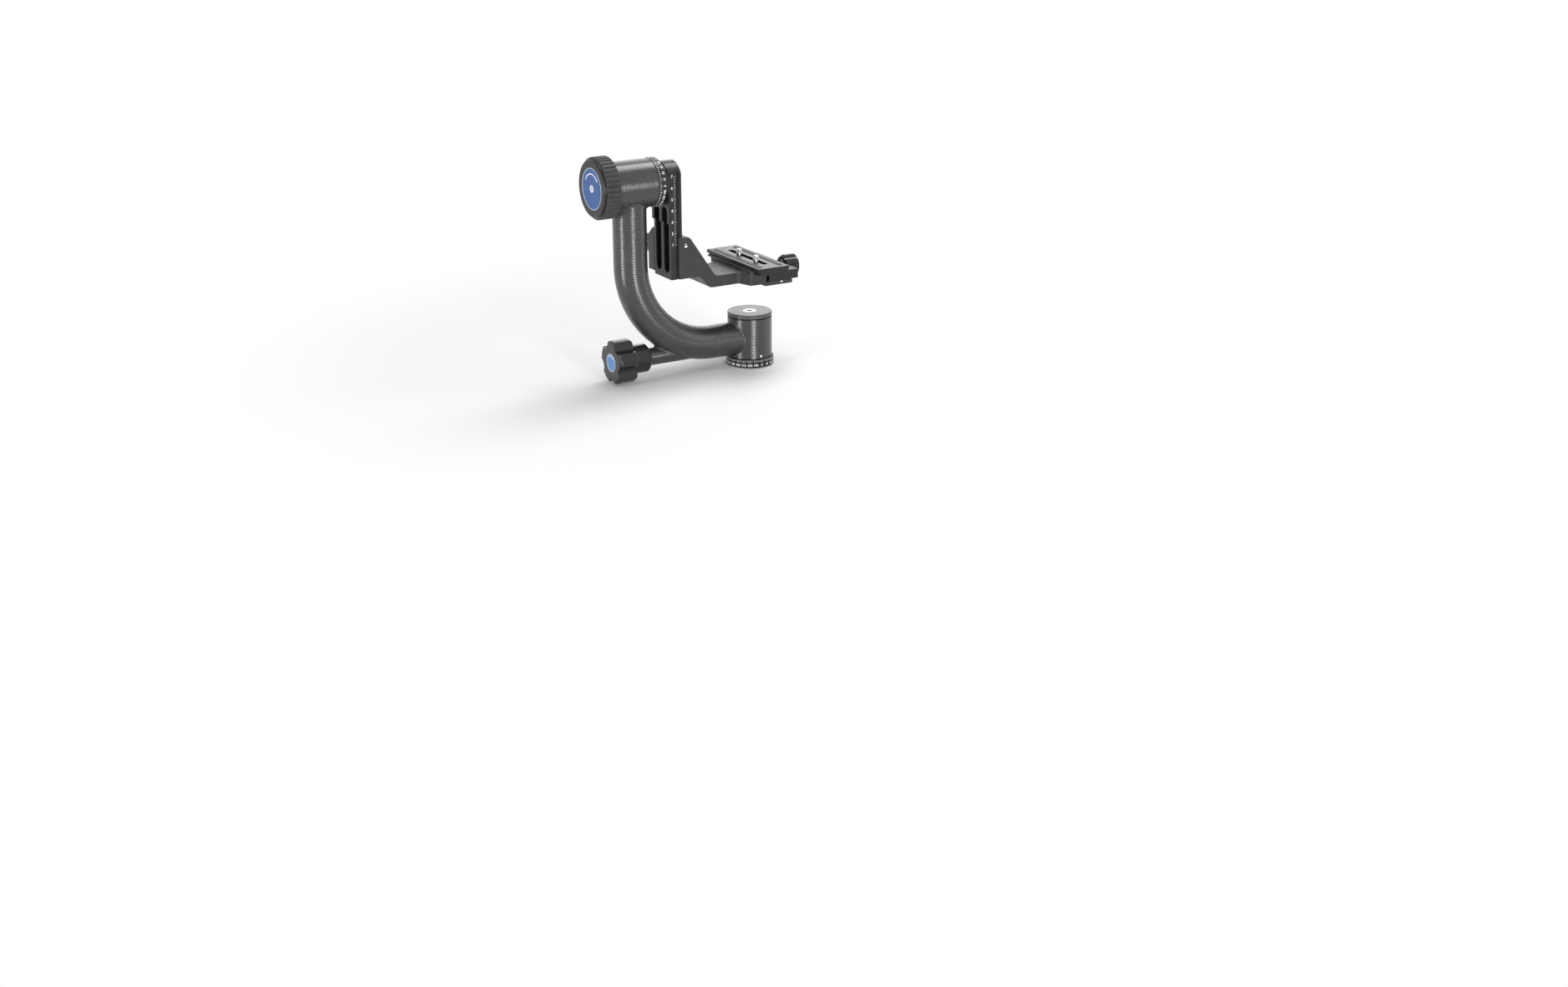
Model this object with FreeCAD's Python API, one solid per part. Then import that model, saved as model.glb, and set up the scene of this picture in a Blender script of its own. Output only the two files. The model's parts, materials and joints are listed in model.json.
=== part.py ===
import FreeCAD, Part
import math
import os

# Gimbal tripod head with a carbon J arm, a tilting rail and a sliding lens cradle.
#
# Frame: millimetres, +Z up, origin in the middle of the foot's face on the pan axis.
# The tilt axis runs along X.  The lens looks along -Y and the arm stands at -X.
# Every piece is one function that returns its solid or solids, in its place at rest.

V = FreeCAD.Vector

# ---------------------------------------------------------------- clearances
SLIP = 0.05           # radial play of a running shaft, and of a located fit
FACE_GAP = 0.10       # play between sliding dovetail faces
TURN_GAP = 0.30       # gap between faces that turn past each other
BRAKE_TRAVEL = 0.60   # advance of a lock screw from free to tight
EDGE = 0.60           # small edge chamfer

# ---------------------------------------------------------------- bearings
BEARING_BORE_R = 12.5
BEARING_R = 18.5
BEARING_W = 7.0
INNER_RACE_R = 14.4
OUTER_RACE_R = 16.6   # inside radius of the outer race
SEAL_T = 0.6
SLEEVE_LAND_R = 17.4  # radius left standing between the two bearing seats

# ---------------------------------------------------------------- pan base
FOOT_T = 3.0
HUB_R = 18.0
RING_PROUD = 1.8      # degree ring's radius beyond the pan housing's
FOOT_INSET = 1.5      # foot's radius inside the ring's
RING_LIFT = 0.6
RING_TOP = 9.8
BUSH_R = 7.0          # tripod thread bush
BUSH_L = 12.0
THREAD_38_R = 4.0     # wall of the 3/8 inch tapped hole
HUB_INSET = 1.0       # hub's shoulder below the ring's top
RING_SCREW_COUNT = 3
RING_SCREW_R = 1.5
RING_SCREW_HEAD_R = 2.85
RING_SCREW_L = 7.0
RING_SCREW_CIRCLE_R = 20.6
RING_SCREW_ANGLE = 30.0
PAN_LOWER_Z = 12.0    # underside of the lower pan bearing
PAN_UPPER_Z = 42.0    # underside of the upper pan bearing
DRUM_R = 15.0         # brake drum between the pan bearings

# ---------------------------------------------------------------- pan housing and cap
PAN_HOUSING_R = 24.2
PAN_HOUSING_TOP = 53.6
PAN_HOUSING_WALL = 2.8
CIRCLIP_T = 1.2
CIRCLIP_DEPTH = 0.6
CIRCLIP_GAP = 3.6
CAP_LIFT = 0.8        # open groove between housing and cap
CAP_T = 4.5
CAP_BOSS_R = 14.1
CAP_GROOVE_W = 0.5
CAP_GROOVE_DEPTH = 0.8
CAP_SKIN = 1.2        # cap left above its groove
WASHER_T = 0.6
CAP_SCREW_HEAD_R = 7.5
CAP_SCREW_HEAD_H = 3.5
CAP_SCREW_R = 4.0
CAP_SCREW_L = 28.0
CAP_SCREW_HEX = 5.0
DRILL_POINT = 2.0     # blind hole beyond a screw's tip

# ---------------------------------------------------------------- carbon arm
ARM_Z = 30.5          # height of the level run
POST_X = -144.1       # upright run
BEND_R = 96.5         # centreline radius of the bend
TUBE_R = 17.9
TUBE_WALL = 2.6
WEB_T = 2.0           # carbon left between the tube's hollow and a housing
PAN_BLEND_R = 2.0     # fillet of the tube into the pan housing
TILT_BLEND_R = 3.0    # fillet of the tube into the tilt housing
STUB_BLEND_R = 1.6    # fillet of the stub into the bend
STUB_Z = 25.0
STUB_R = 9.4
STUB_END_X = -126.3
STUB_WALL = 2.0

# ---------------------------------------------------------------- tilt housing
TILT_Z = 212.6
TILT_HOUSING_R = 25.4
TILT_HOUSING_L = 45.0
TILT_HOUSING_WALL = 3.0
TILT_BEARING_INSET = 2.0
SLEEVE_INSET = 0.3    # sleeve ends stand this far inside the carbon

# ---------------------------------------------------------------- tilt shaft, degree ring
TILT_RING_PROUD = 0.3  # degree ring's radius beyond the tilt housing's
TILT_RING_W = 8.5
RING_SEAT_R = 16.0
HUB_FLANGE_R = 20.0
HUB_FLANGE_T = 5.2
SHAFT_END_T = 3.6     # plain shaft beyond the housing, under the knob
STUD_10_R = 5.0
STUD_10_L = 13.0
TILT_CLIP_R = 14.4
GRUB_COUNT = 3
GRUB_R = 1.5
GRUB_L = 8.0
GRUB_BITE = 1.0       # depth of a grub screw's tip in the shaft
GRUB_ANGLE = 90.0

# ---------------------------------------------------------------- swing rail
RAIL_W = 37.4
RAIL_T = 7.0          # thickness of the slab behind the dovetail groove
RAIL_PAD_T = 2.0      # extra thickness of the upper part
RAIL_PAD_Z = 170.0
RAIL_BOTTOM_Z = 110.0
RAIL_HEAD_R = 21.0
NECK_T = 2.2
STRIP_SLOPE = 2.4
STRIP_FLAT = 1.6
SLOT_W = 11.5
SLOT_RIB = 5.8
SLOT_DEPTH = 6.4
SLOT_BOTTOM_Z = 116.5
SLOT_TOP_Z = 187.0
RAIL_BOLT_COUNT = 4
RAIL_BOLT_CIRCLE_R = 11.5
RAIL_BOLT_ANGLE = 45.0
RAIL_BOLT_R = 2.5
RAIL_BOLT_HEAD_R = 4.25
RAIL_BOLT_HEAD_H = 5.0
RAIL_BOLT_L = 18.0
RAIL_BOLT_HEX = 4.0
RAIL_BOLT_HEX_DEPTH = 3.4

# ---------------------------------------------------------------- cradle bracket
BRACKET_BOTTOM_Z = 110.6
BRACKET_TOP_Z = 155.0
BRACKET_FRONT_Y = -22.0
BRACKET_REAR_Y = 18.4
PLATFORM_REAR_Y = 32.0
PLATFORM_Z = 97.0
PLATFORM_T = 12.0
BACK_SLOPE_TOP_X = -85.5
BACK_SLOPE_FOOT_X = -54.5
STEP_TOP_X = -73.5
STEP_FOOT_X = -61.5
STEP_TOP_R = 6.0
STEP_FOOT_R = 7.0
BACK_FOOT_R = 9.0
BACK_TOP_R = 7.0
JAW_CLEARANCE = 2.0   # from the height jaw's end to the platform's shoulder
CHANNEL_W = 7.0       # channel over the rail's stop screws
CHANNEL_DEPTH = 2.4
HEIGHT_TRAVEL = 65.0
STOP_HEAD_R = 2.6
STOP_CROWN_R = 1.55
STOP_HEAD_T = 1.9
STOP_SCREW_R = 1.5
STOP_SCREW_L = 5.0
LOWER_STOP_RISE = 13.0

# ---------------------------------------------------------------- height lock
HEIGHT_JAW_PROUD = 0.4  # jaw's rear face beyond the platform's rear edge
HEIGHT_JAW_END_X = -80.0
HEIGHT_JAW_BOTTOM_Z = 113.0
HEIGHT_JAW_TOP_Z = 157.0
HEIGHT_SCREW_X = -84.0
HEIGHT_SCREW_Z = 135.0
HEIGHT_SCREW_L = 44.0
HEIGHT_PIN_R = 2.0
HEIGHT_PIN_X = -86.0
HEIGHT_PIN_SPREAD = 30.0
HEIGHT_PIN_ROOT = 10.0
PIN_SHORT = 2.0       # how far a guide pin stops short of its bore's end
HEIGHT_JAW_TOP_R = 6.0
HEIGHT_JAW_BEVEL_W = 5.0
HEIGHT_JAW_BEVEL_H = 7.0

# ---------------------------------------------------------------- lens clamp
CLAMP_L = 87.0
CLAMP_MID_Y = 5.0
FLARE_X = -26.0       # where the platform starts to widen
FLARE_IN_R = 3.5
FLARE_OUT_R = 2.5
LIP_W = 5.6           # width of a jaw's lip beside the plate's neck
PARTING_X = -1.5      # end of the bed
PARTING_W = 3.5       # parting between the bed and the moving jaw
STEP_DOWN_X = -8.5    # start of the step down to the tongue
STEP_DOWN_W = 6.0
STEP_DOWN_R = 3.0
TONGUE_DROP = 2.6     # tongue's underside below the platform's
TONGUE_T = 4.2
TONGUE_END_X = 30.8
CLAMP_JAW_OUT_X = 38.0
JAW_SHOULDER_W = 4.0  # sloped shoulder outside the moving jaw's lip
CLAMP_SCREW_Z = 103.4
CLAMP_SCREW_R = 3.0   # M6 clamp screw
CLAMP_SCREW_L = 62.0
CLAMP_PIN_R = 2.5
CLAMP_PIN_SPREAD = 56.0
CLAMP_PIN_L = 26.0
CLAMP_PIN_ROOT = 10.5
LOCK_SCREW_R = 4.0    # M8 lock screws

# ---------------------------------------------------------------- lens plate
PLATE_MID_X = 1.0
PLATE_MID_Y = 5.5
PLATE_W = 38.0
PLATE_FLANGE_W = 36.0
PLATE_L = 111.0
PLATE_T = 7.8
PLATE_FLAT = 1.0
PLATE_SLOPE = 2.3
PLATE_NECK = 0.9
LENS_SCREW_R = 3.175  # 1/4 inch
LENS_SCREW_HEAD_R = 5.4
LENS_SCREW_HEAD_H = 3.2
LENS_SCREW_OUT = 5.5
LENS_SCREW_NECK_R = 2.6
LENS_SCREW_SPREAD = 36.0
LENS_SLIT_W = 1.4
LENS_SLIT_DEPTH = 1.4
LENS_SLOT_L = 78.0
LENS_LEDGE_W = 2.0    # the wide slot's extra length at each end
PAD_W = 5.0
PAD_T = 0.9
PAD_DEPTH = 0.5
PAD_X = 12.5
PAD_L = 100.0

# ---------------------------------------------------------------- tilt lock knob
TILT_KNOB_R = 30.3
TILT_GRIP_R = 32.4
TILT_GRIP_GROOVE = 1.3
TILT_GRIP_T = 3.4
TILT_GRIP_RIBS = 38
TILT_GRIP_BEVEL = 1.5
GRIP_SHARES = (0.0, 0.5, 0.65, 0.85)  # rib's top, then groove's floor, within one pitch
TILT_KNOB_T = 19.3
TILT_RIM_T = 2.6
TILT_DISC_R = 21.8
TILT_DISC_T = 1.0
KNOB_NUT_R = 9.0
PRESSURE_INSET = 2.4   # pressure ring's radius inside the tilt housing's
PRESSURE_RING_T = 2.6
FRICTION_T = 0.8

# ---------------------------------------------------------------- pan lock knob
PAN_KNOB_R = 23.4
PAN_KNOB_T = 22.7
PAN_KNOB_LOBES = 5
PAN_LOBE_ANGLE = 90.0 # one lobe points up
PAN_SCALLOP_R = 8.0
PAN_SCALLOP_OFFSET = 25.5
PAN_COLLAR_R = 15.4
PAN_COLLAR_L = 19.5
PAN_DISC_R = 10.0
PAN_DISC_T = 1.0
BUSH_FLANGE_T = 0.8
KNOB_BUSH_L = 22.0
PUSH_ROD_R = 3.0
GUIDE_WALL = 1.7
PAD_R = 5.0
PAD_PORT_GAP = 0.3
STUD_ENGAGE = 13.0    # length of the lock stud inside its bush

# ---------------------------------------------------------------- height and clamp knobs
SMALL_KNOB_LOBES = 6
HEIGHT_KNOB_R = 14.0
HEIGHT_KNOB_T = 20.0
HEIGHT_SCALLOP_R = 4.6
HEIGHT_SCALLOP_OFFSET = 15.8
HEIGHT_COLLAR_R = 9.0
HEIGHT_COLLAR_L = 7.1
CLAMP_KNOB_R = 12.0
CLAMP_KNOB_T = 16.5
CLAMP_SCALLOP_R = 4.0
CLAMP_SCALLOP_OFFSET = 13.6
CLAMP_COLLAR_R = 7.5
CLAMP_COLLAR_L = 3.0
KNOB_DOME = 2.2       # rounding of the lobed knobs' ends
DOME_SHARE = 1 / 3    # how far each corner of that rounding is cut back
STUD_IN_KNOB = 14.0
CLAMP_STUD_IN_KNOB = 12.0

# ---------------------------------------------------------------- derived places
MUCH = 400.0          # longer than the whole head
TINY = 1e-3           # smaller than any edge
OVERRUN = 1.0         # how far a cutter, or a piece to be joined, runs past a face
ORIGIN = V(0, 0, 0)
TILT_CENTRE = V(0, 0, TILT_Z)
STUB_CENTRE = V(0, 0, STUB_Z)
DIRECTIONS = {"X": V(1, 0, 0), "Y": V(0, 1, 0), "Z": V(0, 0, 1)}

RING_R = PAN_HOUSING_R + RING_PROUD
FOOT_R = RING_R - FOOT_INSET
PAN_SLEEVE_R = PAN_HOUSING_R - PAN_HOUSING_WALL
HUB_TOP = RING_TOP - HUB_INSET
HOUSING_BOTTOM = RING_TOP + FACE_GAP * 5
PAN_STACK_TOP = PAN_UPPER_Z + BEARING_W
CAP_Z = PAN_HOUSING_TOP + CAP_LIFT
CAP_TOP = CAP_Z + CAP_T

BEND_X = POST_X + BEND_R
BEND_Z = ARM_Z + BEND_R

TILT_SLEEVE_R = TILT_HOUSING_R - TILT_HOUSING_WALL
TILT_RING_R = TILT_HOUSING_R + TILT_RING_PROUD
PRESSURE_RING_R = TILT_HOUSING_R - PRESSURE_INSET
TILT_LEFT = POST_X - TILT_HOUSING_L / 2
TILT_RIGHT = POST_X + TILT_HOUSING_L / 2
TILT_BEARING_LEFT = TILT_LEFT + TILT_BEARING_INSET
TILT_BEARING_RIGHT = TILT_RIGHT - TILT_BEARING_INSET - BEARING_W
TILT_RING_X = TILT_RIGHT + TURN_GAP
HUB_X = TILT_RING_X + TILT_RING_W
RAIL_X = HUB_X + HUB_FLANGE_T
SLAB_X = RAIL_X + RAIL_PAD_T
NECK_X = SLAB_X + RAIL_T
SLOPE_X = NECK_X + NECK_T
FLAT_X = SLOPE_X + STRIP_SLOPE
STRIP_X = FLAT_X + STRIP_FLAT
RAIL_HALF = RAIL_W / 2
NECK_HALF = RAIL_HALF - STRIP_SLOPE

BRACKET_X = STRIP_X + 2 * FACE_GAP
HOOK_X = NECK_X + 7 * FACE_GAP
HEIGHT_JAW_REAR_Y = PLATFORM_REAR_Y + HEIGHT_JAW_PROUD
CRADLE_SIDE = RAIL_HALF + TURN_GAP

PLATFORM_TOP = PLATFORM_Z + PLATFORM_T
TONGUE_Z = PLATFORM_Z - TONGUE_DROP
TONGUE_TOP = TONGUE_Z + TONGUE_T
PLATE_Z = PLATFORM_TOP + FACE_GAP
PLATE_TOP = PLATE_Z + PLATE_T
PLATE_HALF = PLATE_W / 2
FLANGE_HALF = PLATE_FLANGE_W / 2
FLANGE_Z = PLATE_Z + PLATE_FLAT
PLATE_NECK_Z = FLANGE_Z + PLATE_SLOPE
PLATE_NECK_HALF = FLANGE_HALF - PLATE_SLOPE
PLATE_BODY_Z = PLATE_NECK_Z + PLATE_NECK
JAW_TOP_Z = PLATE_BODY_Z - 5 * FACE_GAP
JAW_NOSE = PLATE_NECK_HALF + 2 * FACE_GAP
JAW_MOUTH = FLANGE_HALF + FACE_GAP
LIP_OUT = JAW_NOSE + LIP_W
PLATE_FRONT_Y = PLATE_MID_Y - PLATE_L / 2
PLATE_REAR_Y = PLATE_MID_Y + PLATE_L / 2
CLAMP_FRONT_Y = CLAMP_MID_Y - CLAMP_L / 2
CLAMP_REAR_Y = CLAMP_MID_Y + CLAMP_L / 2
CLAMP_PIN_X = PARTING_X - CLAMP_PIN_ROOT

BUSH_X = STUB_END_X - BUSH_FLANGE_T
COLLAR_X = BUSH_X - BRAKE_TRAVEL - TURN_GAP
PAN_KNOB_X = COLLAR_X - PAN_COLLAR_L
PAN_FACE_X = PAN_KNOB_X - PAN_KNOB_T
STUD_TIP_X = BUSH_X + STUD_ENGAGE
STUD_ROOT_X = PAN_KNOB_X - STUD_IN_KNOB / 2
PAD_X0 = -DRUM_R - TURN_GAP - BRAKE_TRAVEL
PAD_BACK_X = TURN_GAP - math.sqrt(PAN_SLEEVE_R ** 2 - PAD_R ** 2)

TILT_KNOB_BACK = TILT_LEFT - BRAKE_TRAVEL - TURN_GAP
TILT_FACE_X = TILT_KNOB_BACK - TILT_KNOB_T
PRESSURE_X = TILT_KNOB_BACK - PRESSURE_RING_T - FRICTION_T
SHAFT_END_X = TILT_LEFT - SHAFT_END_T


# ---------------------------------------------------------------- building blocks
def in_place(station, radius, axis, centre):
    """Point at a station along an axis and a radius from it."""
    if axis == "X":
        return centre + V(station, 0, radius)
    if axis == "Y":
        return centre + V(radius, station, 0)
    return centre + V(radius, 0, station)


def turned(profile, axis="Z", centre=ORIGIN):
    """Solid of revolution of (station, radius) corners."""
    points = [in_place(s, r, axis, centre) for s, r in profile]
    face = Part.Face(Part.makePolygon(points + points[:1]))
    return face.revolve(centre, DIRECTIONS[axis], 360)


def rod(radius, start, end, axis="Z", centre=ORIGIN):
    """Round bar from one station to another."""
    direction = DIRECTIONS[axis]
    return Part.makeCylinder(radius, end - start, centre + direction * start, direction)


def tube(outer, inner, start, end, axis="Z", centre=ORIGIN):
    """Round bar with a round bore."""
    return rod(outer, start, end, axis, centre).cut(rod(inner, start, end, axis, centre))


def box(x, y, z):
    """Block between two stations on each axis."""
    return Part.makeBox(x[1] - x[0], y[1] - y[0], z[1] - z[0], V(x[0], y[0], z[0]))


def rounded_wire(corners, place):
    """Closed outline of (u, v) or (u, v, radius) corners, with tangent arcs."""
    edges = []
    joints = []
    count = len(corners)
    for i, corner in enumerate(corners):
        here = place(corner[0], corner[1])
        radius = corner[2] if len(corner) > 2 else 0
        if radius == 0:
            joints.append((here, here, here))
            continue
        before = corners[i - 1]
        after = corners[(i + 1) % count]
        back = (place(before[0], before[1]) - here).normalize()
        ahead = (place(after[0], after[1]) - here).normalize()
        half_angle = back.getAngle(ahead) / 2
        inward = (back + ahead).normalize()
        reach = radius / math.tan(half_angle)
        middle = here + inward * (radius / math.sin(half_angle) - radius)
        joints.append((here + back * reach, middle, here + ahead * reach))
    for i, (enter, middle, leave) in enumerate(joints):
        if enter != leave:
            edges.append(Part.Arc(enter, middle, leave).toShape())
        following = joints[(i + 1) % count][0]
        if (following - leave).Length > TINY / 1000:
            edges.append(Part.makeLine(leave, following))
    return Part.Wire(edges)


def extruded(corners, plane, start, end):
    """Prism of a rounded outline in plane XY, XZ or YZ."""
    across = DIRECTIONS[plane[0]]
    up = DIRECTIONS[plane[1]]
    normal = DIRECTIONS[({"X", "Y", "Z"} - set(plane)).pop()]
    wire = rounded_wire(corners, lambda u, v: across * u + up * v + normal * start)
    return Part.Face(wire).extrude(normal * (end - start))


def hexagon(across_flats, start, end, axis, centre):
    """Hexagonal bar, used to cut key sockets."""
    radius = across_flats / math.sqrt(3)
    names = {"X": "YZ", "Y": "XZ", "Z": "XY"}[axis]
    ring = [(centre.dot(DIRECTIONS[names[0]]) + radius * math.cos(math.radians(60 * k)),
             centre.dot(DIRECTIONS[names[1]]) + radius * math.sin(math.radians(60 * k)))
            for k in range(6)]
    return extruded(ring, names, start, end)


def around(count, radius, first=0.0):
    """Points (u, v) spaced evenly on a circle, from a first angle in degrees."""
    angles = [math.radians(first + 360.0 * k / count) for k in range(count)]
    return [(radius * math.cos(a), radius * math.sin(a)) for a in angles]


def slot_corners(u, v0, v1, width):
    """Outline of an upright slot with round ends."""
    half = width / 2
    r = half - TINY
    return [(u - half, v0, r), (u + half, v0, r), (u + half, v1, r), (u - half, v1, r)]


def softened(shape, size, wanted, chamfer=False):
    """Shape with the edges that answer a test rounded or chamfered."""
    edges = [e for e in shape.Edges if wanted(e)]
    if chamfer:
        return shape.makeChamfer(size, edges)
    return shape.makeFillet(size, edges)


def save(name, *solids):
    """Write one node of one or more separate solids."""
    pieces = [s for shape in solids for s in shape.Solids]
    shape = pieces[0] if len(pieces) == 1 else Part.makeCompound(pieces)
    shape.exportStep(os.path.join("parts", name + ".step"))


# ---------------------------------------------------------------- bearings
def inner_race(start, axis, centre):
    """Inner race that a shaft carries."""
    return tube(INNER_RACE_R, BEARING_BORE_R, start, start + BEARING_W, axis, centre)


def outer_race(start, axis, centre):
    """Outer race with its two seals, which stop just short of the inner race."""
    end = start + BEARING_W
    lip = INNER_RACE_R + TURN_GAP
    profile = [(start, BEARING_R), (end, BEARING_R), (end, OUTER_RACE_R),
               (end - TURN_GAP, OUTER_RACE_R), (end - TURN_GAP, lip),
               (end - TURN_GAP - SEAL_T, lip), (end - TURN_GAP - SEAL_T, OUTER_RACE_R),
               (start + TURN_GAP + SEAL_T, OUTER_RACE_R), (start + TURN_GAP + SEAL_T, lip),
               (start + TURN_GAP, lip), (start + TURN_GAP, OUTER_RACE_R), (start, OUTER_RACE_R)]
    return turned(profile, axis, centre)


# ---------------------------------------------------------------- base
def base_spindle():
    """Foot, hub and upright spindle in one turning, drilled from both ends."""
    top = PAN_STACK_TOP - TURN_GAP
    bore = BUSH_R + SLIP
    body = turned([(0, bore), (0, FOOT_R - EDGE), (EDGE, FOOT_R), (FOOT_T, FOOT_R), (FOOT_T, HUB_R),
                   (HUB_TOP, HUB_R), (HUB_TOP, INNER_RACE_R - SLIP),
                   (PAN_LOWER_Z, INNER_RACE_R - SLIP), (PAN_LOWER_Z, BEARING_BORE_R),
                   (top - EDGE, BEARING_BORE_R), (top, BEARING_BORE_R - EDGE), (top, 0),
                   (BUSH_L + EDGE, 0), (BUSH_L + EDGE, bore)])
    body = body.cut(rod(CAP_SCREW_R + SLIP, CAP_TOP - CAP_SCREW_L - DRILL_POINT, top + OVERRUN))
    for x, y in around(RING_SCREW_COUNT, RING_SCREW_CIRCLE_R, RING_SCREW_ANGLE):
        body = body.cut(rod(RING_SCREW_R + SLIP, -OVERRUN, FOOT_T + OVERRUN, "Z", V(x, y, 0)))
        body = body.cut(ring_screw_head(x, y, SLIP))
    return body


def ring_screw_head(x, y, extra=0.0):
    """Countersunk head, sunk just below the foot's face."""
    low = TURN_GAP if extra == 0 else -extra
    wide = RING_SCREW_HEAD_R + extra
    return turned([(low, 0), (low, wide), (TURN_GAP + EDGE, wide),
                   (TURN_GAP + EDGE + wide - RING_SCREW_R - extra, RING_SCREW_R + extra),
                   (TURN_GAP + EDGE + wide - RING_SCREW_R - extra, 0)], "Z", V(x, y, 0))


def ring_screws():
    """Countersunk screws that hold the degree ring to the foot."""
    screws = []
    for x, y in around(RING_SCREW_COUNT, RING_SCREW_CIRCLE_R, RING_SCREW_ANGLE):
        shank = rod(RING_SCREW_R, TURN_GAP + EDGE, TURN_GAP + RING_SCREW_L, "Z", V(x, y, 0))
        screws.append(ring_screw_head(x, y).fuse(shank).removeSplitter())
    return screws


def pan_degree_ring():
    """Ring that carries the pan scale, seated over the foot's rim."""
    bore = HUB_R + SLIP
    rim = FOOT_R + SLIP
    ring = turned([(RING_LIFT, rim), (RING_LIFT, RING_R - EDGE), (RING_LIFT + EDGE, RING_R),
                   (RING_TOP - EDGE, RING_R), (RING_TOP, RING_R - EDGE), (RING_TOP, bore),
                   (FOOT_T, bore), (FOOT_T, rim)])
    for x, y in around(RING_SCREW_COUNT, RING_SCREW_CIRCLE_R, RING_SCREW_ANGLE):
        ring = ring.cut(rod(RING_SCREW_R + SLIP, FOOT_T - OVERRUN, TURN_GAP + RING_SCREW_L + EDGE, "Z",
                            V(x, y, 0)))
    return ring


def tripod_thread_bush():
    """Steel insert with the 3/8 inch tripod thread."""
    return tube(BUSH_R, THREAD_38_R, 0, BUSH_L)


def pan_brake_drum():
    """Steel drum between the pan bearings' inner races, which the brake pad presses."""
    return tube(DRUM_R, BEARING_BORE_R + SLIP, PAN_LOWER_Z + BEARING_W, PAN_UPPER_Z)


def pan_wave_washer():
    """Spring washer under the cap's boss."""
    return tube(CAP_BOSS_R, BEARING_BORE_R + SLIP, PAN_STACK_TOP, PAN_STACK_TOP + WASHER_T)


def pan_cap():
    """Cap screwed to the spindle, with a grooved rim and a boss on the bearing stack."""
    seat = PAN_STACK_TOP + WASHER_T
    groove = CAP_TOP - CAP_SKIN
    inside = PAN_HOUSING_R - CAP_GROOVE_DEPTH
    bore = CAP_SCREW_R + SLIP
    cone = CAP_SCREW_HEAD_R + SLIP
    sink = CAP_TOP - FACE_GAP
    return turned([(seat, BEARING_BORE_R + SLIP), (seat, CAP_BOSS_R), (CAP_Z, CAP_BOSS_R),
                   (CAP_Z, PAN_HOUSING_R - EDGE), (CAP_Z + EDGE, PAN_HOUSING_R),
                   (groove - CAP_GROOVE_W, PAN_HOUSING_R), (groove - CAP_GROOVE_W, inside),
                   (groove, inside), (groove, PAN_HOUSING_R), (CAP_TOP - EDGE, PAN_HOUSING_R),
                   (CAP_TOP, PAN_HOUSING_R - EDGE), (CAP_TOP, cone), (sink, cone),
                   (sink - CAP_SCREW_HEAD_H, bore), (CAP_Z - WASHER_T, bore),
                   (CAP_Z - WASHER_T, BEARING_BORE_R + SLIP)])


def pan_cap_screw():
    """Countersunk socket screw in the middle of the cap."""
    top = CAP_TOP - FACE_GAP
    screw = turned([(top, 0), (top, CAP_SCREW_HEAD_R), (top - CAP_SCREW_HEAD_H, CAP_SCREW_R),
                    (CAP_TOP - CAP_SCREW_L, CAP_SCREW_R), (CAP_TOP - CAP_SCREW_L, 0)])
    return screw.cut(hexagon(CAP_SCREW_HEX, top - CAP_SCREW_HEAD_H, top + OVERRUN, "Z", ORIGIN))


# ---------------------------------------------------------------- arm
def bent_bar(radius, level_end, upright_end):
    """Bar along the arm's centreline: a level run, a quarter bend and an upright run."""
    level = rod(radius, BEND_X, level_end, "X", V(0, 0, ARM_Z))
    upright = rod(radius, BEND_Z, upright_end, "Z", V(POST_X, 0, 0))
    circle = Part.makeCircle(radius, V(POST_X, 0, BEND_Z), DIRECTIONS["Z"])
    bend = Part.Face(Part.Wire(circle)).revolve(V(BEND_X, 0, BEND_Z), V(0, -1, 0), 90)
    return level.fuse([bend, upright])


def on_housing(edge, centre, axis, radius):
    """True where an edge is a junction curve on a housing's round wall."""
    if edge.Curve.TypeId in ("Part::GeomLine", "Part::GeomCircle"):
        return False
    direction = DIRECTIONS[axis]
    first, last = edge.ParameterRange
    for k in range(5):
        offset = edge.valueAt(first + (last - first) * (k + 0.5) / 5) - centre
        if abs((offset - direction * offset.dot(direction)).Length - radius) > SLIP:
            return False
    return True


def carbon_arm():
    """Hollow J arm moulded in one with both housings and the stub for the pan lock."""
    outside = bent_bar(TUBE_R, 0, TILT_Z)
    outside = outside.fuse(rod(PAN_HOUSING_R, HOUSING_BOTTOM, PAN_HOUSING_TOP)).removeSplitter()
    outside = softened(outside, PAN_BLEND_R,
                       lambda e: on_housing(e, ORIGIN, "Z", PAN_HOUSING_R))
    tilt = rod(TILT_HOUSING_R, TILT_LEFT, TILT_RIGHT, "X", TILT_CENTRE)
    outside = outside.fuse(tilt).removeSplitter()
    outside = softened(outside, TILT_BLEND_R,
                       lambda e: on_housing(e, TILT_CENTRE, "X", TILT_HOUSING_R))
    outside = outside.fuse(rod(STUB_R, STUB_END_X, BEND_X, "X", STUB_CENTRE)).removeSplitter()
    outside = softened(outside, STUB_BLEND_R, lambda e: on_housing(e, STUB_CENTRE, "X", STUB_R))
    hollow = bent_bar(TUBE_R - TUBE_WALL, -PAN_HOUSING_R - WEB_T,
                      TILT_Z - TILT_HOUSING_R - WEB_T)
    body = outside.cut(hollow)
    body = body.cut(rod(STUB_R - STUB_WALL + SLIP, STUB_END_X - OVERRUN, BEND_X, "X", STUB_CENTRE))
    body = body.cut(rod(PUSH_ROD_R + GUIDE_WALL + SLIP, BEND_X, 0, "X", STUB_CENTRE))
    body = body.cut(rod(PAN_SLEEVE_R + SLIP, HOUSING_BOTTOM - OVERRUN, PAN_HOUSING_TOP + OVERRUN))
    return body.cut(rod(TILT_SLEEVE_R + SLIP, TILT_LEFT - OVERRUN, TILT_RIGHT + OVERRUN, "X",
                        TILT_CENTRE))


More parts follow.
